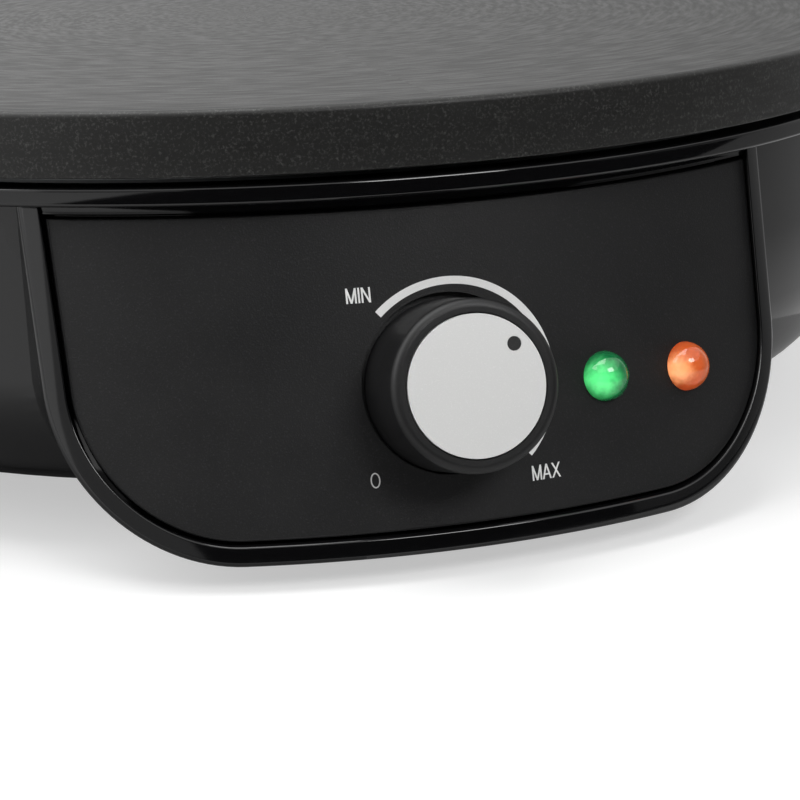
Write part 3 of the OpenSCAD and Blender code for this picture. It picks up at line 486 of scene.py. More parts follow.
@dataclass
class Wardrobe:
    """Keeps one material per finish and dresses pieces."""

    made: dict = field(default_factory=dict)

    def dress(self, finish: Finish, *nodes: str) -> None:
        """Gives carried-over nodes a finish."""
        for name in nodes:
            wear(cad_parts[name], finish, self.made)
            LOG.info("node %s wears %s", name, finish.slot)

    def add(self, piece: bpy.types.Object, body: Body, finish: Finish, slot: str = "",
            replaces: tuple = ()) -> None:
        """Dresses a new piece and lets it ride.

        Args:
            piece: the new piece, in place.
            body: the body it moves with.
            finish: what it is to look like.
            slot: a material slot, if it has one; not used.
            replaces: nodes that it stands for.
        """
        wear(piece, finish, self.made)
        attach(piece, body.value)
        if replaces:
            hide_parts(*replaces)
        LOG.info("piece %s rides on %s", piece.name, body.value)


# ---- the object ----


@dataclass(frozen=True)
class PanelSurface:
    """The leaning cone that the panel's face lies on. Sizes in millimetres.

    radius_at is a height and the face's radius there, dial_z the height of the
    dial's middle.
    """

    axis_y: float = AXIS_Y
    lean_deg: float = 14.0
    radius_at: tuple[float, float] = (35.0, 153.0)
    dial_z: float = 34.7

    def radius(self, z: float) -> float:
        """Radius of the face at height z."""
        return self.radius_at[1] + (self.radius_at[0] - z) * math.tan(math.radians(self.lean_deg))

    def at(self, x: float, z: float, lift: float) -> Vector:
        """Point on the face at (x, z), raised by lift along the face's normal.

        Args:
            x: distance to the right of the middle.
            z: height above the table.
            lift: distance off the face.

        Returns:
            The point, in metres.
        """
        lean = math.radians(self.lean_deg)
        r = self.radius(z)
        y = -math.sqrt(r * r - x * x)
        out = lift * math.cos(lean) / r
        return Vector((x + x * out, y + y * out + self.axis_y, z + lift * math.sin(lean))) * MM

    def before(self, x: float, z: float, lift: float) -> Vector:
        """Point at (x, z) on the face's copy that lies lift in front of it."""
        r = self.radius(z) + lift / math.cos(math.radians(self.lean_deg))
        return Vector((x, self.axis_y - math.sqrt(r * r - x * x), z)) * MM

    def on_dial(self, u: float, v: float, lift: float) -> Vector:
        """Point on the face u to the right of the dial's middle and v above it.

        Args:
            u: distance along the face, to the right.
            v: distance along the face, upwards.
            lift: distance off the face.

        Returns:
            The point, in metres.
        """
        z = self.dial_z + v * math.cos(math.radians(self.lean_deg))
        return self.at(self.radius(z) * math.sin(u / self.radius(z)), z, lift)


@dataclass(frozen=True)
class Outline:
    """Outline of the panel: straight sides that lean a little, round lower corners. Millimetres."""

    corner_x: float = 42.0
    corner_z: float = 37.2
    corner_r: float = 27.6
    taper: float = 1.0
    top: float = 67.4
    side_steps: int = 13
    corner_steps: int = 30
    bottom_steps: int = 16

    def stations(self, grow: float, upper: float, shift: float = 0.0) -> list[tuple]:
        """Points along the outline, grown outwards, from the upper right round to the upper left.

        Args:
            grow: how far outside the panel's outline they lie.
            upper: height at which they start and end.
            shift: distance to the right of the middle.

        Returns:
            x, z, the outward direction in the X-Z plane, and the side, 1 or -1.
        """
        r = self.corner_r + grow
        slant = self.taper / (self.top - self.corner_z)
        right = []
        for i in range(self.side_steps):
            z = upper + (self.corner_z - upper) * i / self.side_steps
            right.append((self.corner_x + r + slant * (z - self.corner_z), z, 1.0, 0.0))
        for i in range(self.corner_steps + 1):
            a = math.radians(90 * i / self.corner_steps)
            right.append((self.corner_x + r * math.cos(a), self.corner_z - r * math.sin(a),
                          math.cos(a), -math.sin(a)))
        for i in range(1, self.bottom_steps + 1):
            right.append((self.corner_x * (1 - i / self.bottom_steps), self.corner_z - r,
                          0.0, -1.0))
        line = [(x + shift, z, nx, nz, 1) for x, z, nx, nz in right]
        return line + [(-x + shift, z, -nx, nz, -1) for x, z, nx, nz in reversed(right[:-1])]


@dataclass
class GriddlePlate:
    """Cast plate with a flat face and a rounded rim. Sizes in millimetres."""

    axis_y: float = AXIS_Y
    radius: float = 150.0
    top: float = 88.0
    rim_h: float = 12.2
    rim_wall: float = 3.5
    edge_r: float = 1.2
    edge_steps: int = 8
    low_edge_r: float = 0.4
    low_edge_steps: int = 3
    skin: float = 4.5
    face_rings: tuple[float, ...] = (40, 90, 125, 140)
    steps: int = 360

    def build(self, wardrobe: Wardrobe) -> None:
        """Turns the plate and dresses it."""
        low = self.top - self.rim_h
        r, e, f = self.radius, self.edge_r, self.low_edge_r
        inner = r - self.rim_wall
        profile = [(0, self.top)]
        profile += [(x, self.top) for x in self.face_rings]
        profile += arc((r - e, self.top - e), e, 90, 0, self.edge_steps)
        profile += arc((r - f, low + f), f, 0, -90, self.low_edge_steps)
        profile += [(inner, low), (inner, self.top - self.skin), (0, self.top - self.skin)]
        place = Matrix.Translation((0, self.axis_y * MM, 0))
        plate = lathe("griddle_plate", [(a * MM, b * MM) for a, b in profile], place, self.steps)
        # PTFE-based coating sprayed on cast aluminium: dark satin, fine light flecks
        coating = Coated("plate_coating", "#1d1d1c", 0.42, 1.38, axis_y=self.axis_y * MM)
        wardrobe.add(plate, Body.BASE, coating, "plate_coating", ("cooking_plate",))


@dataclass
class Housing:
    """Glossy moulded base with a rounded frame round its panel. Sizes in millimetres.

    The frame starts frame_in outside the insert and stands rise off the panel's
    face. Its rounded front adds crown_h, laps over the recess by lap, and holds
    the moulding's sides, wider than it by cover and skirt deep.
    """

    face: PanelSurface
    outline: Outline
    frame_in: float = 1.0
    frame_w: float = 3.4
    rise: float = 0.3
    crown_h: float = 1.05
    inner_r: float = 0.4
    inner_steps: int = 8
    outer_r: float = 1.05
    outer_steps: int = 9
    lap: float = 0.35
    top: float = 70.8
    skirt: float = 0.4
    cover: float = 0.03
    flare_deg: float = 2.0
    slope_deg: float = 6.0
    crown_deg: float = 86.0
    bead_crease_deg: float = 50.0
    shell_crease_deg: float = 28.0

    def crown(self) -> list[tuple[float, float]]:
        """Section of the frame's rounded front, from its outer wall to its inner one.

        Returns:
            Distance outwards from the midline and height off the panel's face.
        """
        half = self.frame_w / 2 + self.cover
        high = self.rise + self.crown_h
        outer, inner = self.outer_r, self.inner_r
        line = arc((half - outer, high - outer), outer, 0, self.crown_deg, self.outer_steps)
        # its inner edge laps over the recess that the insert lies in
        edge = -half - self.lap
        line += arc((edge + inner, high - inner), inner, self.crown_deg, 180, self.inner_steps)
        return [*line, (edge, self.rise - self.skirt)]

    def bead(self) -> bpy.types.Object:
        """Rounded front of the frame, as one bar that follows the panel's outline."""
        flare, slope = math.radians(self.flare_deg), math.radians(self.slope_deg)
        line = self.outline.stations(self.frame_in + self.frame_w / 2, self.top)
        section = self.crown()
        points = []
        for x, z, nx, nz, side in line:
            ring = [self.face.before(x + w * nx, z + w * nz, h) for w, h in section]
            # the outer wall runs back at a slant
            back = Vector((side * math.sin(flare) * math.cos(slope),
                           math.cos(flare) * math.cos(slope), math.sin(slope)))
            points += [ring[0] + back * self.skirt * MM, *ring]
        count = len(section) + 1
        faces = loop_faces(len(line), count, closed=True, wrap=False)
        faces += [tuple(range(count)), tuple(range(len(points) - count, len(points)))]
        return mesh_piece("frame_bead", points, faces, self.bead_crease_deg)

    def build(self, wardrobe: Wardrobe) -> None:
        """Dresses the moulding and adds the frame's rounded front."""
        # phenolic moulded in a polished tool: deep black gloss with a faint orange peel
        gloss = Grained("housing_enamel", "#0b0b0c", 0.08, 1.54, light="#0d0d0e", grain_mm=3.0,
                        depth_mm=0.002, mottle_mm=40, uneven=0.02)
        shell = polished("base_shell", "housing", self.shell_crease_deg)
        wardrobe.add(shell, Body.BASE, gloss, "housing_enamel", ("housing",))
        wardrobe.add(self.bead(), Body.BASE, gloss, "housing_enamel")


def polished(name: str, node: str, sharp_deg: float,
             weld_mm: float = 0.002) -> bpy.types.Object:
    """Copies a node with its faces joined, so that its curves shade smoothly.

    Args:
        name: name of the copy.
        node: the node that it is copied from.
        sharp_deg: creases above this angle stay sharp.
        weld_mm: corners closer than this become one.

    Returns:
        The copy.
    """
    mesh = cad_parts[node].data.copy()
    mesh.name = name
    if "custom_normal" in mesh.attributes:
        mesh.attributes.remove(mesh.attributes["custom_normal"])
    build = bmesh.new()
    build.from_mesh(mesh)
    bmesh.ops.remove_doubles(build, verts=build.verts, dist=weld_mm * MM)
    soften(build, sharp_deg)
    build.to_mesh(mesh)
    build.free()
    mesh.materials.clear()
    piece = bpy.data.objects.new(name, mesh)
    bpy.context.scene.collection.objects.link(piece)
    return piece


@dataclass(frozen=True)
class Word:
    """A printed word of the dial. Millimetres from the dial's middle, gap as a share of height."""

    text: str
    right: float
    up: float
    stroke: float
    gap: float
    height: float = 2.85


@dataclass
class ControlPanel:
    """Matte insert with its printed marks. Sizes in millimetres.

    The insert lies play to the right in its recess. The arc's angles run
    clockwise from straight up.
    """

    face: PanelSurface
    outline: Outline
    play: float = 0.5
    edge_r: float = 0.34
    edge_in: float = 0.22
    round_steps: int = 6
    top_steps: int = 32
    edge_crease_deg: float = 50.0
    arc_out: float = 20.42
    arc_in: float = 18.95
    arc_from: float = -43.0
    arc_to: float = 137.0
    arc_steps: int = 90
    words: tuple[Word, ...] = (
        Word("MIN", -16.8, 18.2, 0.34, 0.22),
        Word("MAX", 16.6, -18.3, 0.32, 0.16),
    )
    zero_at: tuple[float, float] = (-17.0, -16.15)
    zero_half: tuple[float, float] = (0.8, 1.32)
    zero_stroke: float = 0.24
    zero_steps: int = 40
    print_t: float = 0.02

    # strokes of the capitals in a unit square, from end to end
    GLYPHS = {
        "M": ((0, 0, 0, 1), (0, 1, 0.5, 0), (0.5, 0, 1, 1), (1, 1, 1, 0)),
        "I": ((0, 0, 0, 1),),
        "N": ((0, 0, 0, 1), (0, 1, 1, 0), (1, 1, 1, 0)),
        "A": ((0, 0, 0.5, 1), (0.5, 1, 1, 0), (0.2, 0.32, 0.8, 0.32)),
        "X": ((0, 0, 1, 1), (0, 1, 1, 0)),
    }
    # their widths as shares of their height
    WIDTHS = {"M": 0.58, "I": 0.0, "N": 0.49, "A": 0.54, "X": 0.53}

    def ribbon(self, line: list, width: float, closed: bool = False) -> tuple[list, list]:
        """A flat printed stroke, a few hundredths thick.

        Args:
            line: points (u, v) round the dial's middle.
            width: the stroke's width.
            closed: True where the line closes on itself.

        Returns:
            Points and faces.
        """
        n = len(line)
        points = []
        for i, (u, v) in enumerate(line):
            before = line[i - 1] if i or closed else None
            after = line[(i + 1) % n] if i < n - 1 or closed else None
            dirs = [Vector((b[0] - a[0], b[1] - a[1])).normalized()
                    for a, b in ((before, (u, v)), ((u, v), after)) if a and b]
            mean = sum(dirs, Vector((0, 0))).normalized()
            side = Vector((-mean.y, mean.x))
            stretch = 1 / mean.dot(dirs[0])
            for s, lift in ((1, 1), (1, -1), (-1, -1), (-1, 1)):
                w = s * stretch * width / 2
                points.append(self.face.on_dial(u + side.x * w, v + side.y * w,
                                                lift * self.print_t))
        faces = loop_faces(n, 4, closed=True, wrap=closed)
        if not closed:
            faces += [(0, 1, 2, 3), tuple(range(4 * n - 4, 4 * n))]
        return points, faces

    def stroke(self, ends: tuple, width: float) -> tuple[list, list]:
        """A straight stroke that ends flat on the line of the letters.

        Args:
            ends: u and v of its two ends.
            width: the stroke's width.

        Returns:
            Points and faces.
        """
        u0, v0, u1, v1 = ends
        run, climb = u1 - u0, v1 - v0
        across = (0, width / 2) if climb == 0 else (width / 2 * math.hypot(1, run / climb), 0)
        corners = [(u0 - across[0], v0 - across[1]), (u1 - across[0], v1 - across[1]),
                   (u1 + across[0], v1 + across[1]), (u0 + across[0], v0 + across[1])]
        points = [self.face.on_dial(u, v, lift * self.print_t)
                  for lift in (1, -1) for u, v in corners]
        return points, [*loop_faces(2, 4, closed=True, wrap=False), (0, 1, 2, 3), (4, 5, 6, 7)]

    def spell(self, word: Word) -> list:
        """Strokes of a word in thin, narrow capitals.

        Args:
            word: the word, its place and its sizes.

        Returns:
            One (points, faces) pair per stroke.
        """
        height, gap = word.height, word.gap * word.height
        total = sum(self.WIDTHS[c] * height for c in word.text) + gap * (len(word.text) - 1)
        start = word.right - total / 2
        low = word.up - height / 2
        made = []
        for c in word.text:
            w = self.WIDTHS[c] * height
            for x0, y0, x1, y1 in self.GLYPHS[c]:
                ends = (start + x0 * w, low + y0 * height, start + x1 * w, low + y1 * height)
                made.append(self.stroke(ends, word.stroke))
            start += w + gap
        return made

    def marks(self) -> list:
        """All printed strokes but the zero."""
        middle = (self.arc_out + self.arc_in) / 2
        sweep = self.arc_to - self.arc_from
        turns = [math.radians(90 - self.arc_from - sweep * i / self.arc_steps)
                 for i in range(self.arc_steps + 1)]
        made = [self.ribbon([(middle * math.cos(t), middle * math.sin(t)) for t in turns],
                            self.arc_out - self.arc_in)]
        for word in self.words:
            made += self.spell(word)
        return made

    def zero(self) -> list:
        """The off mark, an upright oval."""
        turns = [2 * math.pi * i / self.zero_steps for i in range(self.zero_steps)]
        oval = [(self.zero_at[0] + self.zero_half[0] * math.cos(t),
                 self.zero_at[1] + self.zero_half[1] * math.sin(t)) for t in turns]
        return [self.ribbon(oval, self.zero_stroke, closed=True)]

    def print_piece(self, name: str, strokes: list) -> bpy.types.Object:
        """Joins strokes into one piece.

        Args:
            name: name of the piece.
            strokes: (points, faces) pairs.

        Returns:
            The piece.
        """
        points, faces = [], []
        for p, f in strokes:
            faces += [tuple(i + len(points) for i in face) for face in f]
            points += p
        return mesh_piece(name, points, faces)

    def rounded_edge(self) -> bpy.types.Object:
        """Rounded rim along the insert's outline, its upper edge included."""
        line = self.outline.stations(0, self.outline.top, self.play)
        right, left = line[0][0], line[-1][0]
        line += [(left + (right - left) * i / self.top_steps, self.outline.top, 0.0, 1.0, 1)
                 for i in range(1, self.top_steps)]
        section = [*arc((-self.edge_in, -self.edge_in), self.edge_r, 0, 90, self.round_steps),
                   (-2 * self.edge_in, -2 * self.edge_in)]
        points = []
        for x, z, nx, nz, _ in line:
            points += [self.face.before(x + w * nx, z + w * nz, h) for w, h in section]
        faces = loop_faces(len(line), len(section), closed=True, wrap=True)
        return mesh_piece("panel_rim", points, faces, self.edge_crease_deg)

    def build(self, wardrobe: Wardrobe) -> None:
        """Dresses the insert and prints its marks."""
        # ABS moulded in a spark-eroded tool: matte, with a fine even grain
        insert = Grained("panel_plastic", "#0b0b0c", 0.52, 1.4, light="#282829", grain_mm=0.32,
                         depth_mm=0.04)
        wardrobe.dress(insert, "control_panel")
        wardrobe.add(self.rounded_edge(), Body.BASE, insert, "panel_plastic")
        # pad-printed ink, silver grey and slightly rough
        ink = Grained("print_ink", "#e6e6e5", 0.6, light="#f2f2f1", grain_mm=0.3, depth_mm=0.003)
        thin_ink = Grained("print_ink_thin", "#b4b4b3", 0.6, light="#c6c6c5", grain_mm=0.3,
                           depth_mm=0.003)
        wardrobe.add(self.print_piece("dial_marks", self.marks()), Body.BASE, ink)
        wardrobe.add(self.print_piece("dial_zero", self.zero()), Body.BASE, thin_ink)


@dataclass
class Knob:
    """Temperature knob with its metal cap and pointer dot."""

    def build(self, wardrobe: Wardrobe) -> None:
        """Dresses the knob's pieces."""
        # moulded phenolic with a fine grain: satin black
        grip = Grained("knob_plastic", "#0b0b0c", 0.45, 1.46, light="#1e1e1f", grain_mm=0.3,
                       depth_mm=0.012)
        # aluminium disc under a silver lacquer: even pale grey, half mirror and half matte
        cap = Grained("cap_metal", "#dadad9", 0.5, metallic=0.35, light="#e6e6e5", grain_mm=0.25,
                      depth_mm=0.002, mottle_mm=30, uneven=0.01)
        # stoved black paint: matte
        dot = Grained("dot_ink", "#161616", 0.5, light="#2a2a2a", grain_mm=0.3, depth_mm=0.004)
        wardrobe.dress(grip, "knob")
        wardrobe.dress(cap, "knob_cap")
        wardrobe.dress(dot, "pointer_dot")


@dataclass(frozen=True)
class Indicator:
    """Colours of one lens and the place of its painted glow, in millimetres from its middle."""

    node: str
    slot: str
    colour: str
    edge: str
    glow: str
    power: float
    left: float
    reach: float
    up: float = 0.9
    roughness: float = 0.08
    ior: float = 1.585

    def finish(self) -> Lens:
        """The lens's finish, with its painted glow at its front."""
        low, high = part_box(self.node)
        middle = (low + high) / 2
        centre = (middle.x - self.left * MM, low.y, middle.z + self.up * MM)
        return Lens(self.slot, self.colour, self.roughness, self.ior, edge=self.edge,
                    glow=self.glow, power=self.power, centre=centre, reach_mm=self.reach)


@dataclass
class Lamps:
    """The two indicator lamps."""

    # moulded polycarbonate, clear green and clear amber: glossy, with a painted glow placed off
    # centre and painted shade towards the rim
    lenses: tuple[Indicator, ...] = (
        Indicator("ready_lens", "green_lens", "#27b862", "#12824a", "#6dff96", 0.85, 2.5, 5.2),
        Indicator("power_lens", "amber_lens", "#ff8a4c", "#fb7636", "#ffc98c", 0.75, 3.5, 4.4),
    )

    def build(self, wardrobe: Wardrobe) -> None:
        """Dresses the lenses and what lies behind them."""
        for lens in self.lenses:
            wardrobe.dress(lens.finish(), lens.node)
        # thin glass tube, tinted orange by the gas
        wardrobe.dress(Finish("neon_glass", "#ffd0a0", 0.08, 1.5), "neon_lamps")


@dataclass
class Underside:
    """Feet, bottom cover and cord inlet."""

    def build(self, wardrobe: Wardrobe) -> None:
        """Dresses what is seen from below and behind."""
        # nitrile rubber, moulded: matte, slightly grey
        wardrobe.dress(Grained("foot_rubber", "#19191a", 0.8, 1.52, light="#2c2c2c",
                               grain_mm=0.5, depth_mm=0.02), "rubber_feet")
        # steel sheet with a black powder coat: satin, with an orange peel
        wardrobe.dress(Grained("cover_sheet", "#202021", 0.45, 1.5, light="#2a2a2b",
                               grain_mm=0.8, depth_mm=0.02), "bottom_cover")
        # nylon, moulded: satin
        wardrobe.dress(Grained("gland_plastic", "#151516", 0.5, 1.53, light="#262627",
                               grain_mm=0.4, depth_mm=0.01), "cord_gland")


@dataclass
class Works:
    """Everything inside: heater, thermostat, wiring and fasteners."""

    def build(self, wardrobe: Wardrobe) -> None:
        """Dresses the inner pieces."""
        # zinc-plated steel: pale blue-grey with the lines of drawing
        zinc = Worked("zinc_steel", "#b9bcc2", 0.32, metallic=1.0, dark="#8d9096")
        # turned brass: warm yellow with browner stains
        brass = Worked("terminal_brass", "#c9a255", 0.3, metallic=1.0, dark="#8a6c30")
        # rolled spring steel: grey, darker than the zinc
        steel = Worked("spring_steel", "#a3a6ab", 0.3, metallic=1.0, dark="#70737a",
                       along=Axis.X)
        # drawn copper, tarnished: dull red-brown
        copper = Worked("copper", "#b3744f", 0.38, metallic=1.0, dark="#6f4028", along=Axis.X)
        wardrobe.dress(zinc, "plate_screws", "cover_screws", "thermostat_yoke",
                       "thermostat_capsule", "bushing_nut", "thermostat_shaft")
        wardrobe.dress(brass, "terminal_screws", "earth_screw", "earth_tag", "earth_nut")
        wardrobe.dress(Worked("bushing_brass", "#c2a35e", 0.34, metallic=1.0, dark="#857040"),
                       "thermostat_bushing")
        wardrobe.dress(steel, "fuse_clip", "bulb_clip", "knob_spring", "lens_rings")
        wardrobe.dress(copper, "sensor_bulb", "capillary_tube")
        # stainless tube after many heats: straw to brown oxide
        wardrobe.dress(Worked("element_sheath", "#7d7266", 0.45, metallic=1.0, dark="#4b4038"),
                       "heating_element")
        # nickel plate: warm grey, brighter than the tube
        wardrobe.dress(Worked("nickel_pins", "#b5b0a6", 0.3, metallic=1.0, dark="#87827a"),
                       "element_pins", "thermostat_tabs")
        # aluminised steel sheet: pale and dull, with the lines of rolling
        wardrobe.dress(Worked("aluminised_sheet", "#b0b2b3", 0.4, metallic=1.0, dark="#8b8d8e",
                              along=Axis.X), "heat_shield")
        # fired ceramics and pressed mica: dry, matte, with a coarse grain
        wardrobe.dress(Grained("ceramic", "#ece9df", 0.7, 1.6, light="#ffffff", depth_mm=0.02),
                       "element_seals")
        wardrobe.dress(Grained("fuse_ceramic", "#dcd8cb", 0.65, 1.6, light="#f2efe6"),
                       "thermal_fuse")
        wardrobe.dress(Grained("thermostat_ceramic", "#e2ddd0", 0.7, 1.6, light="#f7f4ea",
                               depth_mm=0.02), "thermostat_body")
        wardrobe.dress(Grained("mica", "#a58a5c", 0.5, 1.58, light="#d5c193", grain_mm=1.2),
                       "insulating_washers")
        # moulded nylon, uncoloured: cream, satin
        wardrobe.dress(Grained("terminal_plastic", "#d9d5c6", 0.45, 1.53, light="#e6e3d8"),
                       "terminal_block")
        # heat-shrunk polyolefin: matte black
        wardrobe.dress(Grained("sleeve_rubber", "#1c1c1d", 0.7, 1.5, light="#2e2e2f"),
                       "lamp_sleeves")
        # braided glass: ochre threads, dry
        wardrobe.dress(Sleeving("lead_sleeving", "#b98f62", 0.8), "mains_leads", "lamp_leads")
        # silicone rubber: satin, green with yellow bands
        wardrobe.dress(Sleeving("earth_sleeving", "#3f8a34", 0.5, other="#d8c832", wave_mm=36),
                       "earth_lead")


# ---- floor, light and camera ----


def lying(x: tuple, y: tuple, z: float) -> tuple:
    """Corners of a level rectangle."""
    return (x[0], y[0], z), (x[1], y[0], z), (x[1], y[1], z), (x[0], y[1], z)


def upright(start: tuple, end: tuple, height: float) -> tuple:
    """Corners of an upright rectangle that stands on the floor from start to end."""
    return (*start, 0.0), (*end, 0.0), (*end, height), (*start, height)


def sheet_material(name: str, grey: float) -> tuple[bpy.types.Material, bpy.types.Node]:
    """Starts a matte grey material that also shines white once its strength is linked.

    Args:
        name: name of the material.
        grey: its grey as linear light.

    Returns:
        The material and its shader node.
    """
    made = bpy.data.materials.new(name)
    made.use_nodes = True
    shader = made.node_tree.nodes["Principled BSDF"]
    shader.inputs["Base Color"].default_value = (grey, grey, grey, 1)
    shader.inputs["Specular IOR Level"].default_value = 0.0
    shader.inputs["Emission Color"].default_value = (1, 1, 1, 1)
    return made, shader


@dataclass(frozen=True)
class Softbox:
    """A soft rectangular lamp. Metres and watts."""

    name: str
    place: tuple
    size: tuple
    power: float

    def build(self, aim: tuple) -> None:
        """Hangs the lamp so that it faces aim."""
        data = bpy.data.lights.new(self.name, "AREA")
        data.shape = "RECTANGLE"
        data.size, data.size_y = self.size
        data.energy = self.power
        lamp = bpy.data.objects.new(self.name, data)
        lamp.location = self.place
        away = Vector(self.place) - Vector(aim)
        lamp.rotation_euler = away.to_track_quat("Z", "Y").to_euler()
        bpy.context.scene.collection.objects.link(lamp)


@dataclass(frozen=True)
class PaintedReflection:
    """A glowing grey sheet that only reflections see: painted light and painted shade in the
    mirrored surroundings. Metres.

    Its grey goes from the first to the second of tones between the distances
    of reach from middle.
    """

    name: str
    corners: tuple
    tones: tuple = (0.0, 0.0)
    reach: tuple = (0.0, 1.0)
    middle: tuple = (0.0, 0.0, 0.0)

    def build(self) -> None:
        """Hangs the sheet of painted reflection."""
        piece = mesh_piece(self.name, self.corners, [tuple(range(len(self.corners)))])
        made, shader = sheet_material(self.name, 0.0)
        tree = made.node_tree
        coords = add_node(tree, "ShaderNodeTexCoord").outputs["Object"]
        away = add_node(tree, "ShaderNodeVectorMath", {"operation": "DISTANCE", 1: self.middle},
                        {0: coords})
        tone = add_node(tree, "ShaderNodeMapRange",
                        {"From Min": self.reach[0], "From Max": self.reach[1],
                         "To Min": self.tones[0], "To Max": self.tones[1]},
                        {"Value": away.outputs["Value"]})
        tree.links.new(tone.outputs["Result"], shader.inputs["Emission Strength"])
        piece.data.materials.append(made)
        piece.visible_camera = False
        piece.visible_diffuse = False
        piece.visible_shadow = False
        piece.visible_transmission = False


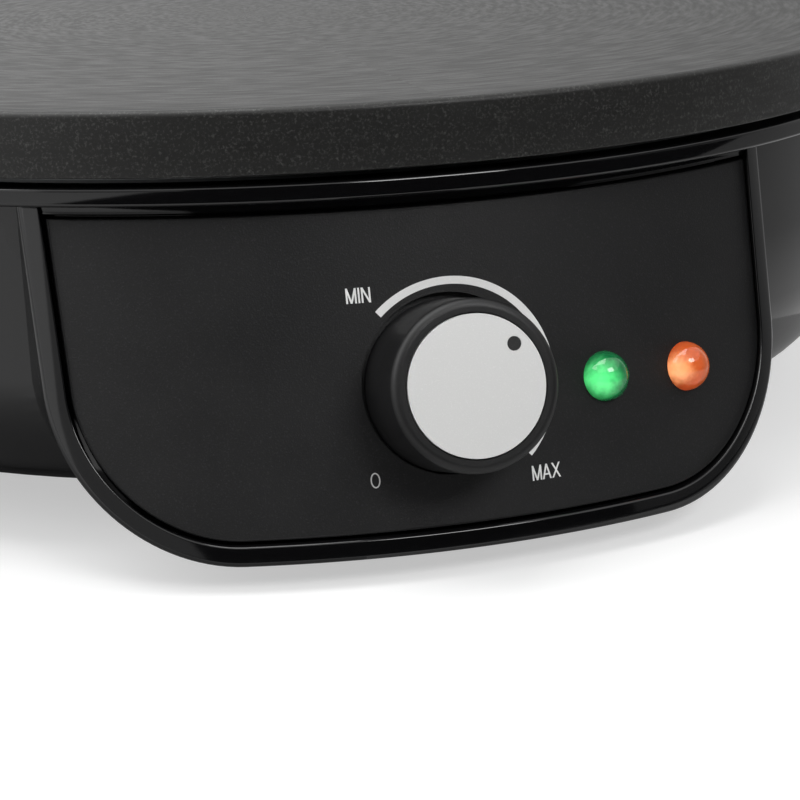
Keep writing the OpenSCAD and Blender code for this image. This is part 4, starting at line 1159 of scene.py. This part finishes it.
@dataclass
class Studio:
    """Pale floor, soft lamps, grey sheets of painted reflection and the camera. Metres and degrees.

    The camera stands azimuth to the left of the front and elevation above the
    table, and looks at target.
    """

    # the bowl's foot on the floor, from which the painted shadow and painted shade of its mirrored
    # floor are measured
    FOOT = (0.0, 0.01, 0.001)

    floor_size: float = 6.0
    target: tuple[float, float, float] = (-0.0099435, -0.139274, 0.0321582)
    azimuth: float = 16.9734
    elevation: float = 16.0091
    roll: float = -1.6141
    distance: float = 0.4311694
    focal_px: float = 2309.27
    frame_px: float = 800.0
    sensor_mm: float = 36.0
    near_clip: float = 0.01
    paper: float = 0.58
    paper_roughness: float = 0.9
    floor_lift: float = 0.495
    shine_lift: float = 0.05
    ambient: float = 0.35
    aim: tuple[float, float, float] = (0, -0.05, 0.05)
    softboxes: tuple[Softbox, ...] = (
        Softbox("front_softbox", (0.243, -0.806, 0.594), (0.38, 0.28), 2.95),
        Softbox("top_softbox", (-0.3, 0.1, 1.4), (1.2, 1.2), 16.5),
        Softbox("left_softbox", (-1.1, -0.3, 0.7), (0.6, 0.9), 4.2),
    )
    painted_reflections: tuple[PaintedReflection, ...] = (
        # painted shade in reflections: dark sheets in front and at the sides, a mid grey at the
        # near left
        PaintedReflection("front_painted_shade", ((-0.25, -0.26, 0.002), (0.06, -0.26, 0.002),
                              (0.13, -0.235, 0.002), (0.7, -0.235, 0.002),
                              (1.0, -1.1, 0.002), (-0.5, -1.1, 0.002))),
        PaintedReflection("far_painted_shade", upright((-0.5, -1.1), (1.0, -1.1), 0.7)),
        PaintedReflection("side_painted_shade", upright((1.0, -1.1), (1.15, 0.3), 0.7), (0.15, 0.6), (0.6, 1.4),
              (1.0, -1.1, 0.3)),
        PaintedReflection("near_painted_shade", upright((-1.05, -0.95), (-0.5, -1.1), 0.7), (0.4, 0.4)),
        # painted shadow: the object's contact shadow on the mirrored floor at the left
        PaintedReflection("left_painted_shadow", lying((-0.3, -0.02), (-0.25, 0.15), 0.001), (0.02, 0.87),
              (0.12, 0.235), FOOT),
        # painted shade: the mirrored floor at the right darkens outwards
        PaintedReflection("right_painted_shade", lying((0.15, 1.15), (-0.3, 0.4), 0.0015), (0.88, 0.34),
              (0.15, 0.29), FOOT),
        # painted light in reflections: a bright sheet behind, brightest at its left end
        PaintedReflection("back_painted_light", upright((-0.8, 1.6), (1.9, 1.6), 1.3), (1.0, 0.5), (0.5, 1.7),
              (-0.6, 1.6, 0.5)),
    )

    def floor(self) -> None:
        """A wide pale floor that keeps the object's shadow."""
        half = self.floor_size / 2
        ground = mesh_piece("floor", lying((-half, half), (-half, half), 0), [(0, 1, 2, 3)])
        made, shader = sheet_material("floor_paper", self.paper)
        tree = made.node_tree
        shader.inputs["Roughness"].default_value = self.paper_roughness
        rays = add_node(tree, "ShaderNodeLightPath")
        # paper looks white to the eye, and greyer in reflections
        shine = add_node(tree, "ShaderNodeMath", {"operation": "MULTIPLY", 1: self.shine_lift},
                         {0: rays.outputs["Is Glossy Ray"]})
        lift = add_node(tree, "ShaderNodeMath",
                        {"operation": "MULTIPLY_ADD", 1: self.floor_lift},
                        {0: rays.outputs["Is Camera Ray"], 2: shine.outputs[0]})
        tree.links.new(lift.outputs[0], shader.inputs["Emission Strength"])
        ground.data.materials.append(made)

    def seen(self, tree: bpy.types.NodeTree, rays: bpy.types.Node) -> bpy.types.NodeSocket:
        """1 for camera, glossy and transmission rays, 0 for the light on the object.

        Args:
            tree: the node tree.
            rays: its Light Path node.

        Returns:
            The factor's socket.
        """
        shiny = add_node(tree, "ShaderNodeMath", {"operation": "MAXIMUM"},
                         {0: rays.outputs["Is Glossy Ray"],
                          1: rays.outputs["Is Transmission Ray"]})
        return add_node(tree, "ShaderNodeMath", {"operation": "MAXIMUM"},
                        {0: rays.outputs["Is Camera Ray"], 1: shiny.outputs[0]}).outputs[0]

    def world(self) -> None:
        """White surroundings as seen, a lower level as light."""
        made = bpy.data.worlds.new("studio")
        bpy.context.scene.world = made
        made.use_nodes = True
        tree = made.node_tree
        back = tree.nodes["Background"]
        back.inputs["Color"].default_value = (1, 1, 1, 1)
        rays = add_node(tree, "ShaderNodeLightPath")
        level = add_node(tree, "ShaderNodeMapRange", {"To Min": self.ambient, "To Max": 1.0},
                         {"Value": self.seen(tree, rays)})
        tree.links.new(level.outputs["Result"], back.inputs["Strength"])

    def camera(self) -> None:
        """The viewing angle, turned a little about its own axis."""
        az, el, roll = (math.radians(a) for a in (self.azimuth, self.elevation, self.roll))
        back = Vector((-math.sin(az) * math.cos(el), -math.cos(az) * math.cos(el), math.sin(el)))
        right = (-back).cross(Vector((0, 0, 1))).normalized()
        up = right.cross(-back)
        turned = math.cos(roll) * right + math.sin(roll) * up
        upward = -math.sin(roll) * right + math.cos(roll) * up
        data = bpy.data.cameras.new("camera")
        data.sensor_width = self.sensor_mm
        data.lens = self.focal_px / self.frame_px * self.sensor_mm
        data.clip_start = self.near_clip
        cam = bpy.data.objects.new("camera", data)
        pose = Matrix((turned, upward, back)).transposed().to_4x4()
        pose.translation = Vector(self.target) + back * self.distance
        cam.matrix_world = pose
        bpy.context.scene.collection.objects.link(cam)
        bpy.context.scene.camera = cam

    def build(self) -> None:
        """Sets the studio up."""
        self.floor()
        self.world()
        for softbox in self.softboxes:
            softbox.build(self.aim)
        for painted_sheet in self.painted_reflections:
            painted_sheet.build()
        self.camera()
        bpy.context.scene.view_settings.view_transform = "Standard"


def main() -> None:
    """Builds the classes in order."""
    logging.basicConfig(level=logging.INFO, format="%(message)s")
    wardrobe = Wardrobe()
    face = PanelSurface()
    outline = Outline()
    parts = (GriddlePlate(), Housing(face, outline), ControlPanel(face, outline), Knob(), Lamps(),
             Underside(), Works())
    for part in parts:
        part.build(wardrobe)
        LOG.info("built %s", type(part).__name__)
    Studio().build()


if __name__ == "__main__":
    main()
